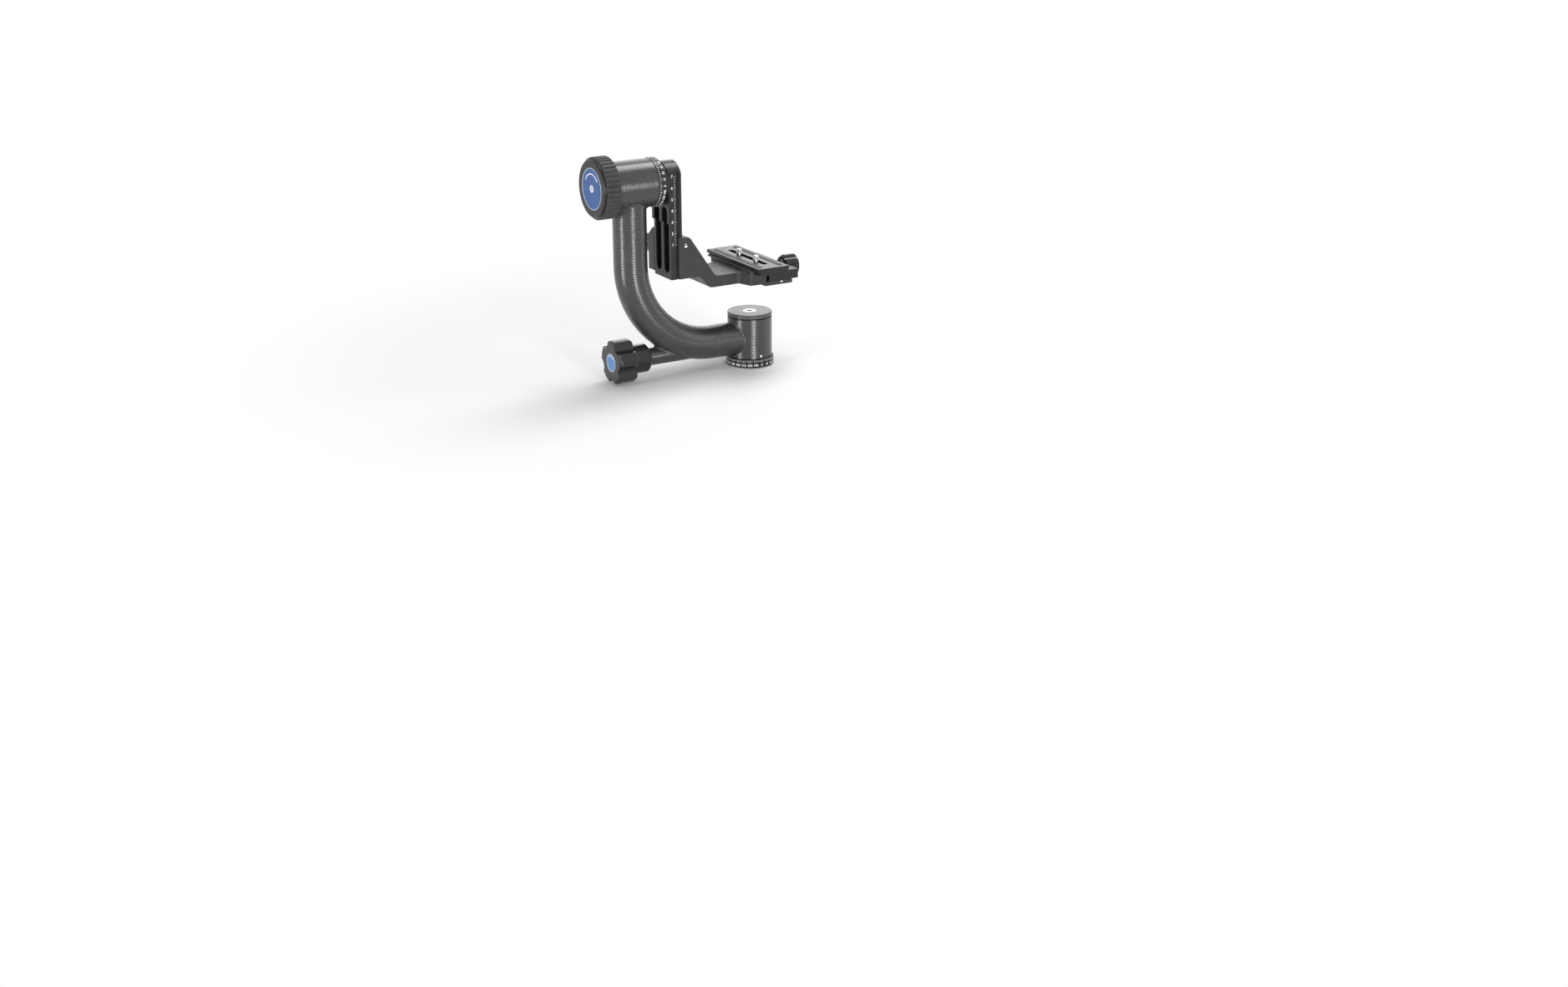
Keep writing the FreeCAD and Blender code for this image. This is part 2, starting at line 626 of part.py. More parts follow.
def pan_sleeve():
    """Metal liner of the pan housing, bored for two bearings, a circlip and the brake pad."""
    seat = BEARING_R + SLIP / 2
    low = HOUSING_BOTTOM + SLEEVE_INSET
    high = PAN_HOUSING_TOP - SLEEVE_INSET
    clip = PAN_STACK_TOP + SLIP
    sleeve = turned([(low, seat), (low, PAN_SLEEVE_R), (high, PAN_SLEEVE_R), (high, seat),
                     (clip + CIRCLIP_T + SLIP, seat),
                     (clip + CIRCLIP_T + SLIP, seat + CIRCLIP_DEPTH),
                     (clip - SLIP, seat + CIRCLIP_DEPTH), (clip - SLIP, seat),
                     (PAN_UPPER_Z, seat), (PAN_UPPER_Z, SLEEVE_LAND_R),
                     (PAN_LOWER_Z + BEARING_W, SLEEVE_LAND_R), (PAN_LOWER_Z + BEARING_W, seat)])
    return sleeve.cut(rod(PAD_R + PAD_PORT_GAP, -PAN_SLEEVE_R - OVERRUN, 0, "X", STUB_CENTRE))


def circlip(outer, inner, start, axis, centre):
    """Spring ring with a gap."""
    ring = tube(outer, inner, start, start + CIRCLIP_T, axis, centre)
    along = (start - OVERRUN, start + CIRCLIP_T + OVERRUN)
    gap = (-CIRCLIP_GAP / 2, CIRCLIP_GAP / 2)
    if axis == "Z":
        mouth = box((0, MUCH), gap, along)
    else:
        mouth = box(along, gap, (0, MUCH))
        mouth.translate(V(0, 0, centre.z))
    return ring.cut(mouth)


def pan_circlip():
    """Inside ring above the upper pan bearing."""
    return circlip(BEARING_R + CIRCLIP_DEPTH, OUTER_RACE_R + EDGE, PAN_STACK_TOP + SLIP, "Z", ORIGIN)


def tilt_sleeve():
    """Metal liner of the tilt housing, bored for two bearings."""
    seat = BEARING_R + SLIP / 2
    left = TILT_LEFT + SLEEVE_INSET
    right = TILT_RIGHT - SLEEVE_INSET
    return turned([(left, seat), (left, TILT_SLEEVE_R), (right, TILT_SLEEVE_R), (right, seat),
                   (TILT_BEARING_RIGHT, seat), (TILT_BEARING_RIGHT, SLEEVE_LAND_R),
                   (TILT_BEARING_LEFT + BEARING_W, SLEEVE_LAND_R),
                   (TILT_BEARING_LEFT + BEARING_W, seat)], "X", TILT_CENTRE)


def pan_knob_bush():
    """Threaded bush in the stub's end."""
    outer = STUB_R - STUB_WALL
    return turned([(BUSH_X, LOCK_SCREW_R + SLIP), (BUSH_X, STUB_R), (STUB_END_X, STUB_R),
                   (STUB_END_X, outer), (BUSH_X + KNOB_BUSH_L, outer),
                   (BUSH_X + KNOB_BUSH_L, LOCK_SCREW_R + SLIP)], "X", STUB_CENTRE)


def push_rod_guide():
    """Thin tube that leads the push rod through the hollow arm."""
    return tube(PUSH_ROD_R + GUIDE_WALL, PUSH_ROD_R + SLIP, BUSH_X + KNOB_BUSH_L,
                PAD_BACK_X - TURN_GAP, "X", STUB_CENTRE)


# ---------------------------------------------------------------- pan lock
def pan_brake_pad():
    """Plastic pad that presses the drum."""
    return rod(PAD_R, PAD_BACK_X, PAD_X0, "X", STUB_CENTRE)


def pan_push_rod():
    """Rod between the lock stud and the brake pad."""
    return rod(PUSH_ROD_R, STUD_TIP_X, PAD_BACK_X, "X", STUB_CENTRE)


def lobed_knob(radius, lobes, scallop_r, scallop_offset, start, length, axis, centre, first):
    """Round grip with scallops between its lobes, domed at both ends."""
    end = start + length
    dome = KNOB_DOME
    bevel = KNOB_DOME * DOME_SHARE
    body = turned([(start, 0), (start, radius - dome), (start + bevel, radius - bevel),
                   (start + dome, radius), (end - dome, radius), (end - bevel, radius - bevel),
                   (end, radius - dome), (end, 0)], axis, centre)
    names = {"X": "YZ", "Y": "XZ", "Z": "XY"}[axis]
    for u, v in around(lobes, scallop_offset, first):
        at = centre + DIRECTIONS[names[0]] * u + DIRECTIONS[names[1]] * v
        body = body.cut(rod(scallop_r, start - OVERRUN, end + OVERRUN, axis, at))
    return body


def pan_knob_grip():
    """Lobed knob with a round collar, bored for its stud and recessed for its disc."""
    half_step = 180.0 / PAN_KNOB_LOBES
    body = lobed_knob(PAN_KNOB_R, PAN_KNOB_LOBES, PAN_SCALLOP_R, PAN_SCALLOP_OFFSET,
                      PAN_FACE_X, PAN_KNOB_T, "X", STUB_CENTRE, PAN_LOBE_ANGLE + half_step)
    collar = turned([(PAN_KNOB_X - OVERRUN, 0), (PAN_KNOB_X - OVERRUN, PAN_COLLAR_R),
                     (COLLAR_X - KNOB_DOME, PAN_COLLAR_R), (COLLAR_X, PAN_COLLAR_R - KNOB_DOME),
                     (COLLAR_X, 0)], "X", STUB_CENTRE)
    body = body.fuse(collar)
    body = body.cut(rod(PAN_DISC_R + SLIP, PAN_FACE_X - OVERRUN, PAN_FACE_X + PAN_DISC_T, "X",
                        STUB_CENTRE))
    return body.cut(rod(LOCK_SCREW_R + SLIP, STUD_ROOT_X, COLLAR_X + OVERRUN, "X", STUB_CENTRE))


def pan_knob_disc():
    """Coloured disc in the knob's face."""
    return rod(PAN_DISC_R, PAN_FACE_X, PAN_FACE_X + PAN_DISC_T, "X", STUB_CENTRE)


def pan_knob_stud():
    """M8 stud moulded into the knob."""
    return rod(LOCK_SCREW_R, STUD_ROOT_X, STUD_TIP_X, "X", STUB_CENTRE)


# ---------------------------------------------------------------- swing
def bolt_places():
    """Bolt places (y, z) around the tilt axis."""
    return around(RAIL_BOLT_COUNT, RAIL_BOLT_CIRCLE_R, RAIL_BOLT_ANGLE)


def tilt_shaft():
    """Shaft, ring seat and hub flange in one turning, with a threaded end for the knob."""
    groove = TILT_BEARING_LEFT - SLIP
    deep = BEARING_BORE_R - CIRCLIP_DEPTH
    shaft = turned([(SHAFT_END_X - STUD_10_L, 0), (SHAFT_END_X - STUD_10_L, STUD_10_R),
                    (SHAFT_END_X, STUD_10_R), (SHAFT_END_X, BEARING_BORE_R),
                    (groove - CIRCLIP_T - SLIP, BEARING_BORE_R),
                    (groove - CIRCLIP_T - SLIP, deep), (groove, deep), (groove, BEARING_BORE_R),
                    (TILT_BEARING_RIGHT + BEARING_W, BEARING_BORE_R),
                    (TILT_BEARING_RIGHT + BEARING_W, INNER_RACE_R - SLIP),
                    (TILT_RING_X, INNER_RACE_R - SLIP), (TILT_RING_X, RING_SEAT_R),
                    (HUB_X, RING_SEAT_R), (HUB_X, HUB_FLANGE_R), (RAIL_X, HUB_FLANGE_R),
                    (RAIL_X, 0)], "X", TILT_CENTRE)
    for y, z in bolt_places():
        at = TILT_CENTRE + V(0, y, z)
        tip = STRIP_X - RAIL_BOLT_HEAD_H - RAIL_BOLT_L
        shaft = shaft.cut(rod(RAIL_BOLT_R + SLIP, tip - OVERRUN, RAIL_X + OVERRUN, "X", at))
    for y, z in around(GRUB_COUNT, 1.0, GRUB_ANGLE):
        shaft = shaft.cut(grub_bar(y, z, GRUB_R + SLIP, RING_SEAT_R - DRILL_POINT,
                                   RING_SEAT_R + OVERRUN))
    return shaft


def grub_bar(y, z, radius, inner, outer):
    """Radial bar through the degree ring, towards the tilt axis."""
    direction = V(0, y, z)
    middle = TILT_RING_X + TILT_RING_W / 2
    return Part.makeCylinder(radius, outer - inner, V(middle, 0, TILT_Z) + direction * inner,
                             direction)


def tilt_degree_ring():
    """Ring that carries the tilt scale, seated on the shaft's hub."""
    bore = RING_SEAT_R + SLIP
    end = HUB_X
    ring = turned([(TILT_RING_X, bore), (TILT_RING_X, TILT_RING_R - EDGE),
                   (TILT_RING_X + EDGE, TILT_RING_R), (end - EDGE, TILT_RING_R),
                   (end, TILT_RING_R - EDGE), (end, bore)], "X", TILT_CENTRE)
    for y, z in around(GRUB_COUNT, 1.0, GRUB_ANGLE):
        ring = ring.cut(grub_bar(y, z, GRUB_R + SLIP, RING_SEAT_R - OVERRUN, TILT_RING_R + OVERRUN))
    return ring


def tilt_ring_screws():
    """Grub screws that hold the tilt degree ring."""
    start = RING_SEAT_R - GRUB_BITE
    return [grub_bar(y, z, GRUB_R, start, start + GRUB_L)
            for y, z in around(GRUB_COUNT, 1.0, GRUB_ANGLE)]


def tilt_spacer():
    """Tube between the tilt bearings' inner races."""
    return tube(INNER_RACE_R - SLIP, BEARING_BORE_R + SLIP, TILT_BEARING_LEFT + BEARING_W,
                TILT_BEARING_RIGHT, "X", TILT_CENTRE)


def tilt_circlip():
    """Outside ring that holds the bearing stack on the shaft."""
    return circlip(TILT_CLIP_R, BEARING_BORE_R - CIRCLIP_DEPTH + SLIP,
                   TILT_BEARING_LEFT - CIRCLIP_T - SLIP, "X", TILT_CENTRE)


def rail_section():
    """Rail section in plan: a slab, a dovetail groove on each side and a strip."""
    half = [(SLAB_X, RAIL_HALF), (NECK_X, RAIL_HALF), (NECK_X, NECK_HALF), (SLOPE_X, NECK_HALF),
            (FLAT_X, RAIL_HALF), (STRIP_X, RAIL_HALF)]
    return [(x, -y) for x, y in half] + [(x, y) for x, y in reversed(half)]


def swing_rail():
    """Upright dovetail rail with a round head, lightening slots and counterbored bolt holes."""
    long_bar = extruded(rail_section(), "XY", RAIL_BOTTOM_Z, TILT_Z + RAIL_HEAD_R)
    pad = box((RAIL_X, SLAB_X), (-RAIL_HALF, RAIL_HALF), (RAIL_PAD_Z, TILT_Z + RAIL_HEAD_R))
    rail = long_bar.fuse(pad).removeSplitter()
    head = rod(RAIL_HEAD_R, RAIL_X - OVERRUN, STRIP_X + OVERRUN, "X", TILT_CENTRE)
    below = box((RAIL_X - OVERRUN, STRIP_X + OVERRUN), (-RAIL_W, RAIL_W), (RAIL_BOTTOM_Z, TILT_Z))
    rail = rail.common(head.fuse(below))
    for side in (-1, 1):
        middle = side * (SLOT_RIB + SLOT_W) / 2
        corners = slot_corners(middle, SLOT_BOTTOM_Z, SLOT_TOP_Z, SLOT_W)
        rail = rail.cut(extruded(corners, "YZ", RAIL_X - OVERRUN, SLAB_X + SLOT_DEPTH))
    for y, z in bolt_places():
        at = TILT_CENTRE + V(0, y, z)
        rail = rail.cut(rod(RAIL_BOLT_R + SLIP, RAIL_X - OVERRUN, STRIP_X + OVERRUN, "X", at))
        rail = rail.cut(rod(RAIL_BOLT_HEAD_R + SLIP, STRIP_X - RAIL_BOLT_HEAD_H, STRIP_X + OVERRUN,
                            "X", at))
    for z in stop_heights():
        rail = rail.cut(rod(STOP_SCREW_R + SLIP, STRIP_X - STOP_SCREW_L - OVERRUN,
                            STRIP_X + OVERRUN, "X", V(0, 0, z)))
    return softened(rail, EDGE, corner_edge, chamfer=True)


def corner_edge(edge):
    """True for the two long upright corners of the slab's lower part."""
    b = edge.BoundBox
    upright = b.XLength < TINY and b.YLength < TINY
    return upright and abs(b.XMin - SLAB_X) < TINY and abs(abs(b.YMin) - RAIL_HALF) < TINY


def rail_bolts():
    """Socket screws that hold the rail to the tilt shaft's flange."""
    bolts = []
    top = STRIP_X - FACE_GAP
    seat = STRIP_X - RAIL_BOLT_HEAD_H
    for y, z in bolt_places():
        at = TILT_CENTRE + V(0, y, z)
        bolt = rod(RAIL_BOLT_HEAD_R, seat, top, "X", at)
        bolt = bolt.fuse(rod(RAIL_BOLT_R, seat - RAIL_BOLT_L, seat, "X", at)).removeSplitter()
        socket = hexagon(RAIL_BOLT_HEX, top - RAIL_BOLT_HEX_DEPTH, top + OVERRUN, "X", at)
        bolts.append(bolt.cut(socket))
    return bolts


def stop_heights():
    """Heights of the stop screws at the two ends of the cradle's travel."""
    lower = BRACKET_BOTTOM_Z + LOWER_STOP_RISE
    upper = BRACKET_TOP_Z - LOWER_STOP_RISE + HEIGHT_TRAVEL + 2 * (STOP_HEAD_R + FACE_GAP)
    return (lower, upper)


def rail_stop_screws():
    """Button screws in the rail's face that stop the cradle at both ends."""
    screws = []
    for z in stop_heights():
        at = V(0, 0, z)
        head = turned([(STRIP_X, 0), (STRIP_X, STOP_HEAD_R),
                       (STRIP_X + STOP_HEAD_T / 2, STOP_HEAD_R),
                       (STRIP_X + STOP_HEAD_T, STOP_CROWN_R), (STRIP_X + STOP_HEAD_T, 0)],
                      "X", at)
        shank = rod(STOP_SCREW_R, STRIP_X - STOP_SCREW_L, STRIP_X, "X", at)
        screws.append(head.fuse(shank).removeSplitter())
    return screws


# ---------------------------------------------------------------- tilt lock
def tilt_pressure_ring():
    """Ring on the shaft that the knob pushes."""
    return tube(PRESSURE_RING_R, BEARING_BORE_R + SLIP, PRESSURE_X, PRESSURE_X + PRESSURE_RING_T,
                "X", TILT_CENTRE)


def tilt_friction_washer():
    """Friction washer between the pressure ring and the housing's end."""
    return tube(PRESSURE_RING_R, BEARING_BORE_R + SLIP, TILT_KNOB_BACK - FRICTION_T,
                TILT_KNOB_BACK, "X", TILT_CENTRE)


def tilt_knob_body():
    """Knob body with a face rim, a seat for the rubber grip and two recesses."""
    grip_seat = TILT_GRIP_R - TILT_GRIP_T
    rim = TILT_FACE_X + TILT_RIM_T
    return turned([(TILT_FACE_X + TILT_DISC_T, 0), (TILT_FACE_X + TILT_DISC_T, TILT_DISC_R + SLIP),
                   (TILT_FACE_X, TILT_DISC_R + SLIP), (TILT_FACE_X, TILT_KNOB_R - EDGE * 2),
                   (TILT_FACE_X + EDGE * 2, TILT_KNOB_R), (rim, TILT_KNOB_R), (rim, grip_seat),
                   (TILT_KNOB_BACK, grip_seat), (TILT_KNOB_BACK, PRESSURE_RING_R + TURN_GAP),
                   (PRESSURE_X, PRESSURE_RING_R + TURN_GAP), (PRESSURE_X, KNOB_NUT_R),
                   (rim, KNOB_NUT_R), (rim, 0)], "X", TILT_CENTRE)


def tilt_knob_grip():
    """Ribbed rubber ring around the knob."""
    start = TILT_FACE_X + TILT_RIM_T
    corners = []
    step = 360.0 / TILT_GRIP_RIBS
    low = TILT_GRIP_R - TILT_GRIP_GROOVE
    for k in range(TILT_GRIP_RIBS):
        for share, radius in zip(GRIP_SHARES, (TILT_GRIP_R, TILT_GRIP_R, low, low)):
            angle = math.radians(step * (k + share))
            corners.append((radius * math.cos(angle), TILT_Z + radius * math.sin(angle)))
    ribbed = extruded(corners, "YZ", start, TILT_KNOB_BACK)
    inside = TILT_GRIP_R - TILT_GRIP_T
    envelope = turned([(start, inside), (start, low), (start + TILT_GRIP_BEVEL, TILT_GRIP_R + OVERRUN),
                       (TILT_KNOB_BACK - TILT_GRIP_BEVEL, TILT_GRIP_R + OVERRUN),
                       (TILT_KNOB_BACK, low),
                       (TILT_KNOB_BACK, inside)], "X", TILT_CENTRE)
    return ribbed.common(envelope)


def tilt_knob_disc():
    """Coloured disc in the knob's face."""
    return rod(TILT_DISC_R, TILT_FACE_X, TILT_FACE_X + TILT_DISC_T, "X", TILT_CENTRE)


def tilt_knob_nut():
    """Brass insert with the knob's thread."""
    return tube(KNOB_NUT_R, STUD_10_R + SLIP, TILT_FACE_X + TILT_RIM_T, PRESSURE_X, "X",
                TILT_CENTRE)


# ---------------------------------------------------------------- cradle
def bracket_side():
    """Side outline of the bracket in XZ, from the upright over the platform to the tongue."""
    mouth = PLATE_MID_X - JAW_MOUTH
    nose = PLATE_MID_X - JAW_NOSE
    back = PLATE_MID_X - LIP_OUT
    return [(BRACKET_X, BRACKET_BOTTOM_Z), (STEP_TOP_X, BRACKET_BOTTOM_Z, STEP_TOP_R),
            (STEP_FOOT_X, PLATFORM_Z, STEP_FOOT_R), (STEP_DOWN_X, PLATFORM_Z, STEP_DOWN_R),
            (STEP_DOWN_X + STEP_DOWN_W, TONGUE_Z, STEP_DOWN_R), (TONGUE_END_X, TONGUE_Z, EDGE),
            (TONGUE_END_X, TONGUE_TOP, EDGE), (PARTING_X, TONGUE_TOP), (PARTING_X, PLATFORM_TOP),
            (mouth, PLATFORM_TOP), (mouth, PLATE_NECK_Z - (JAW_MOUTH - JAW_NOSE)),
            (nose, PLATE_NECK_Z), (nose, JAW_TOP_Z), (back, JAW_TOP_Z, EDGE),
            (back, PLATFORM_TOP, EDGE), (BACK_SLOPE_FOOT_X, PLATFORM_TOP, BACK_FOOT_R),
            (BACK_SLOPE_TOP_X, BRACKET_TOP_Z, BACK_TOP_R), (BRACKET_X, BRACKET_TOP_Z)]


def bracket_plan():
    """Plan outline of the bracket in XY, flaring out to the clamp."""
    back = PLATE_MID_X - LIP_OUT
    shelf = HEIGHT_JAW_END_X + JAW_CLEARANCE
    return [(BRACKET_X, BRACKET_FRONT_Y), (FLARE_X, BRACKET_FRONT_Y, FLARE_IN_R),
            (back, CLAMP_FRONT_Y, FLARE_OUT_R), (TONGUE_END_X, CLAMP_FRONT_Y),
            (TONGUE_END_X, CLAMP_REAR_Y), (back, CLAMP_REAR_Y, FLARE_OUT_R),
            (FLARE_X, PLATFORM_REAR_Y, FLARE_IN_R), (shelf, PLATFORM_REAR_Y),
            (shelf, BRACKET_REAR_Y), (BRACKET_X, BRACKET_REAR_Y)]


def hook_corners(sign):
    """Section of a dovetail hook on one side of the rail, in XY."""
    inner = NECK_HALF + TURN_GAP
    return [(HOOK_X, sign * CRADLE_SIDE), (HOOK_X, sign * inner), (SLOPE_X + FACE_GAP, sign * inner),
            (SLOPE_X + FACE_GAP + CRADLE_SIDE - inner, sign * CRADLE_SIDE)]


def cradle_bracket():
    """Bracket: dovetail hook, upright, cranked platform and clamp bed with its fixed jaw."""
    body = extruded(bracket_side(), "XZ", CLAMP_FRONT_Y - OVERRUN, CLAMP_REAR_Y + OVERRUN)
    body = body.common(extruded(bracket_plan(), "XY", TONGUE_Z - OVERRUN, BRACKET_TOP_Z + OVERRUN))
    side = box((HOOK_X, BRACKET_X), (BRACKET_FRONT_Y, -CRADLE_SIDE),
               (BRACKET_BOTTOM_Z, BRACKET_TOP_Z))
    hook = extruded(hook_corners(-1), "XY", BRACKET_BOTTOM_Z, BRACKET_TOP_Z)
    body = body.fuse([side, hook]).removeSplitter()
    lower, _ = stop_heights()
    upper = BRACKET_TOP_Z - LOWER_STOP_RISE
    wide = (-CHANNEL_W / 2, CHANNEL_W / 2)
    deep = (BRACKET_X - OVERRUN, BRACKET_X + CHANNEL_DEPTH)
    body = body.cut(box(deep, wide, (BRACKET_BOTTOM_Z - OVERRUN, lower + STOP_HEAD_R + FACE_GAP)))
    body = body.cut(box(deep, wide, (upper + STOP_HEAD_R, BRACKET_TOP_Z + OVERRUN)))
    height_axis = V(HEIGHT_SCREW_X, 0, HEIGHT_SCREW_Z)
    body = body.cut(rod(LOCK_SCREW_R + SLIP, HEIGHT_JAW_REAR_Y - HEIGHT_SCREW_L, MUCH, "Y",
                        height_axis))
    for z in pin_heights():
        body = body.cut(rod(HEIGHT_PIN_R + SLIP, BRACKET_REAR_Y - HEIGHT_PIN_ROOT, MUCH, "Y",
                            V(HEIGHT_PIN_X, 0, z)))
    tip = CLAMP_JAW_OUT_X - CLAMP_SCREW_L + CLAMP_STUD_IN_KNOB
    body = body.cut(rod(CLAMP_SCREW_R + SLIP, tip - OVERRUN, MUCH, "X", V(0, 0, CLAMP_SCREW_Z)))
    for y in pin_places():
        body = body.cut(rod(CLAMP_PIN_R + SLIP, CLAMP_PIN_X, MUCH, "X", V(0, y, CLAMP_SCREW_Z)))
    return body


def pin_heights():
    """Heights of the height jaw's two guide pins."""
    return (HEIGHT_SCREW_Z - HEIGHT_PIN_SPREAD / 2, HEIGHT_SCREW_Z + HEIGHT_PIN_SPREAD / 2)


def pin_places():
    """Places along Y of the clamp jaw's two guide pins."""
    return (CLAMP_MID_Y - CLAMP_PIN_SPREAD / 2, CLAMP_MID_Y + CLAMP_PIN_SPREAD / 2)


def height_guide_pins():
    """Pins that keep the height jaw square."""
    return [rod(HEIGHT_PIN_R, BRACKET_REAR_Y - HEIGHT_PIN_ROOT, HEIGHT_JAW_REAR_Y - PIN_SHORT, "Y",
                V(HEIGHT_PIN_X, 0, z)) for z in pin_heights()]


def clamp_guide_pins():
    """Pins that keep the clamp jaw square."""
    return [rod(CLAMP_PIN_R, CLAMP_PIN_X, CLAMP_PIN_X + CLAMP_PIN_L, "X",
                V(0, y, CLAMP_SCREW_Z)) for y in pin_places()]


def height_jaw():
    """Jaw at the rail's rear side, with a dovetail hook."""
    outline = [(SLAB_X, HEIGHT_JAW_BOTTOM_Z), (HEIGHT_JAW_END_X, HEIGHT_JAW_BOTTOM_Z),
               (HEIGHT_JAW_END_X, HEIGHT_JAW_TOP_Z, HEIGHT_JAW_TOP_R),
               (SLAB_X + HEIGHT_JAW_BEVEL_W, HEIGHT_JAW_TOP_Z),
               (SLAB_X, HEIGHT_JAW_TOP_Z - HEIGHT_JAW_BEVEL_H)]
    jaw = extruded(outline, "XZ", CRADLE_SIDE, HEIGHT_JAW_REAR_Y)
    hook = extruded(hook_corners(1), "XY", HEIGHT_JAW_BOTTOM_Z, BRACKET_TOP_Z)
    jaw = jaw.fuse(hook).removeSplitter()
    jaw = jaw.cut(rod(LOCK_SCREW_R + SLIP, 0, MUCH, "Y", V(HEIGHT_SCREW_X, 0, HEIGHT_SCREW_Z)))
    for z in pin_heights():
        jaw = jaw.cut(rod(HEIGHT_PIN_R + SLIP, 0, HEIGHT_JAW_REAR_Y - OVERRUN, "Y",
                          V(HEIGHT_PIN_X, 0, z)))
    return softened(jaw, EDGE, rear_edge, chamfer=True)


def rear_edge(edge):
    """True for the outer edges of the height jaw's rear face."""
    b = edge.BoundBox
    flat = b.YLength < TINY and abs(b.YMin - HEIGHT_JAW_REAR_Y) < TINY
    return flat and edge.Curve.TypeId == "Part::GeomLine"


def clamp_jaw():
    """Moving jaw of the lens clamp: a block beyond the parting, with its lip beside the plate."""
    inner = PARTING_X + PARTING_W
    bottom = TONGUE_TOP + TURN_GAP
    top = PLATFORM_TOP - FACE_GAP
    mouth = PLATE_MID_X + JAW_MOUTH
    nose = PLATE_MID_X + JAW_NOSE
    lip = PLATE_MID_X + LIP_OUT
    outline = [(inner, bottom), (CLAMP_JAW_OUT_X, bottom, EDGE), (CLAMP_JAW_OUT_X, top, EDGE),
               (lip + JAW_SHOULDER_W, top, EDGE), (lip, JAW_TOP_Z, EDGE), (nose, JAW_TOP_Z),
               (nose, PLATE_NECK_Z), (mouth, PLATE_NECK_Z - (JAW_MOUTH - JAW_NOSE)), (mouth, top),
               (inner, top)]
    jaw = extruded(outline, "XZ", CLAMP_FRONT_Y, CLAMP_REAR_Y)
    jaw = jaw.cut(rod(CLAMP_SCREW_R + SLIP, 0, MUCH, "X", V(0, 0, CLAMP_SCREW_Z)))
    pin_end = CLAMP_PIN_X + CLAMP_PIN_L + PIN_SHORT
    for y in pin_places():
        jaw = jaw.cut(rod(CLAMP_PIN_R + SLIP, 0, pin_end, "X", V(0, y, CLAMP_SCREW_Z)))
    return jaw


def small_knob(knob, collar, stud, start, axis, centre):
    """Six-lobed lock knob with a collar towards its jaw.

    The knob is (radius, length, scallop radius, scallop offset), the collar is
    (radius, length) and the stud is (radius, depth in the knob).
    """
    radius, length, scallop_r, offset = knob
    grip_start = start + collar[1]
    body = lobed_knob(radius, SMALL_KNOB_LOBES, scallop_r, offset, grip_start, length, axis,
                      centre, 0)
    body = body.fuse(rod(collar[0], start, grip_start + OVERRUN, axis, centre))
    return body.cut(rod(stud[0] + SLIP, start - OVERRUN, start + stud[1], axis, centre))


def height_knob_grip():
    """Knob that locks the cradle's height."""
    return small_knob((HEIGHT_KNOB_R, HEIGHT_KNOB_T, HEIGHT_SCALLOP_R, HEIGHT_SCALLOP_OFFSET),
                      (HEIGHT_COLLAR_R, HEIGHT_COLLAR_L), (LOCK_SCREW_R, STUD_IN_KNOB),
                      HEIGHT_JAW_REAR_Y, "Y", V(HEIGHT_SCREW_X, 0, HEIGHT_SCREW_Z))


def height_screw():
    """M8 screw moulded into the height knob."""
    end = HEIGHT_JAW_REAR_Y + STUD_IN_KNOB
    return rod(LOCK_SCREW_R, end - HEIGHT_SCREW_L, end, "Y", V(HEIGHT_SCREW_X, 0, HEIGHT_SCREW_Z))


def clamp_knob_grip():
    """Knob that closes the lens clamp."""
    return small_knob((CLAMP_KNOB_R, CLAMP_KNOB_T, CLAMP_SCALLOP_R, CLAMP_SCALLOP_OFFSET),
                      (CLAMP_COLLAR_R, CLAMP_COLLAR_L), (CLAMP_SCREW_R, CLAMP_STUD_IN_KNOB),
                      CLAMP_JAW_OUT_X, "X", V(0, 0, CLAMP_SCREW_Z))


def clamp_screw():
    """M6 screw moulded into the clamp knob."""
    end = CLAMP_JAW_OUT_X + CLAMP_STUD_IN_KNOB
    return rod(CLAMP_SCREW_R, end - CLAMP_SCREW_L, end, "X", V(0, 0, CLAMP_SCREW_Z))


# ---------------------------------------------------------------- lens plate
def plate_section():
    """Dovetail section of the lens plate in XZ."""
    half = [(FLANGE_HALF, PLATE_Z), (FLANGE_HALF, FLANGE_Z), (PLATE_NECK_HALF, PLATE_NECK_Z),
            (PLATE_NECK_HALF, PLATE_BODY_Z), (PLATE_HALF, PLATE_BODY_Z),
            (PLATE_HALF, PLATE_TOP - EDGE), (PLATE_HALF - EDGE, PLATE_TOP)]
    mirrored = [(-x, z) for x, z in reversed(half)]
    return [(PLATE_MID_X + x, z) for x, z in half + mirrored]


def lens_plate():
    """Long dovetail plate with a stepped slot for the lens screws and two pad grooves."""
    plate = extruded(plate_section(), "XZ", PLATE_FRONT_Y, PLATE_REAR_Y)
    front = PLATE_MID_Y - LENS_SLOT_L / 2
    rear = PLATE_MID_Y + LENS_SLOT_L / 2
    ledge = PLATE_Z + TURN_GAP + LENS_SCREW_HEAD_H
    narrow = slot_corners(PLATE_MID_X, front, rear, 2 * (LENS_SCREW_R + SLIP))
    wide = slot_corners(PLATE_MID_X, front - LENS_LEDGE_W, rear + LENS_LEDGE_W,
                        2 * (LENS_SCREW_HEAD_R + TURN_GAP))
    plate = plate.cut(extruded(narrow, "XY", PLATE_Z - OVERRUN, PLATE_TOP + OVERRUN))
    plate = plate.cut(extruded(wide, "XY", PLATE_Z - OVERRUN, ledge))
    for corners in pad_outlines():
        plate = plate.cut(extruded(corners, "XY", PLATE_TOP - PAD_DEPTH, PLATE_TOP + OVERRUN))
    return plate


def pad_outlines():
    """Outlines in XY of the two pads along the plate."""
    front = PLATE_MID_Y - PAD_L / 2
    rear = PLATE_MID_Y + PAD_L / 2
    return [slot_corners(PLATE_MID_X + x, front, rear, PAD_W) for x in (-PAD_X, PAD_X)]


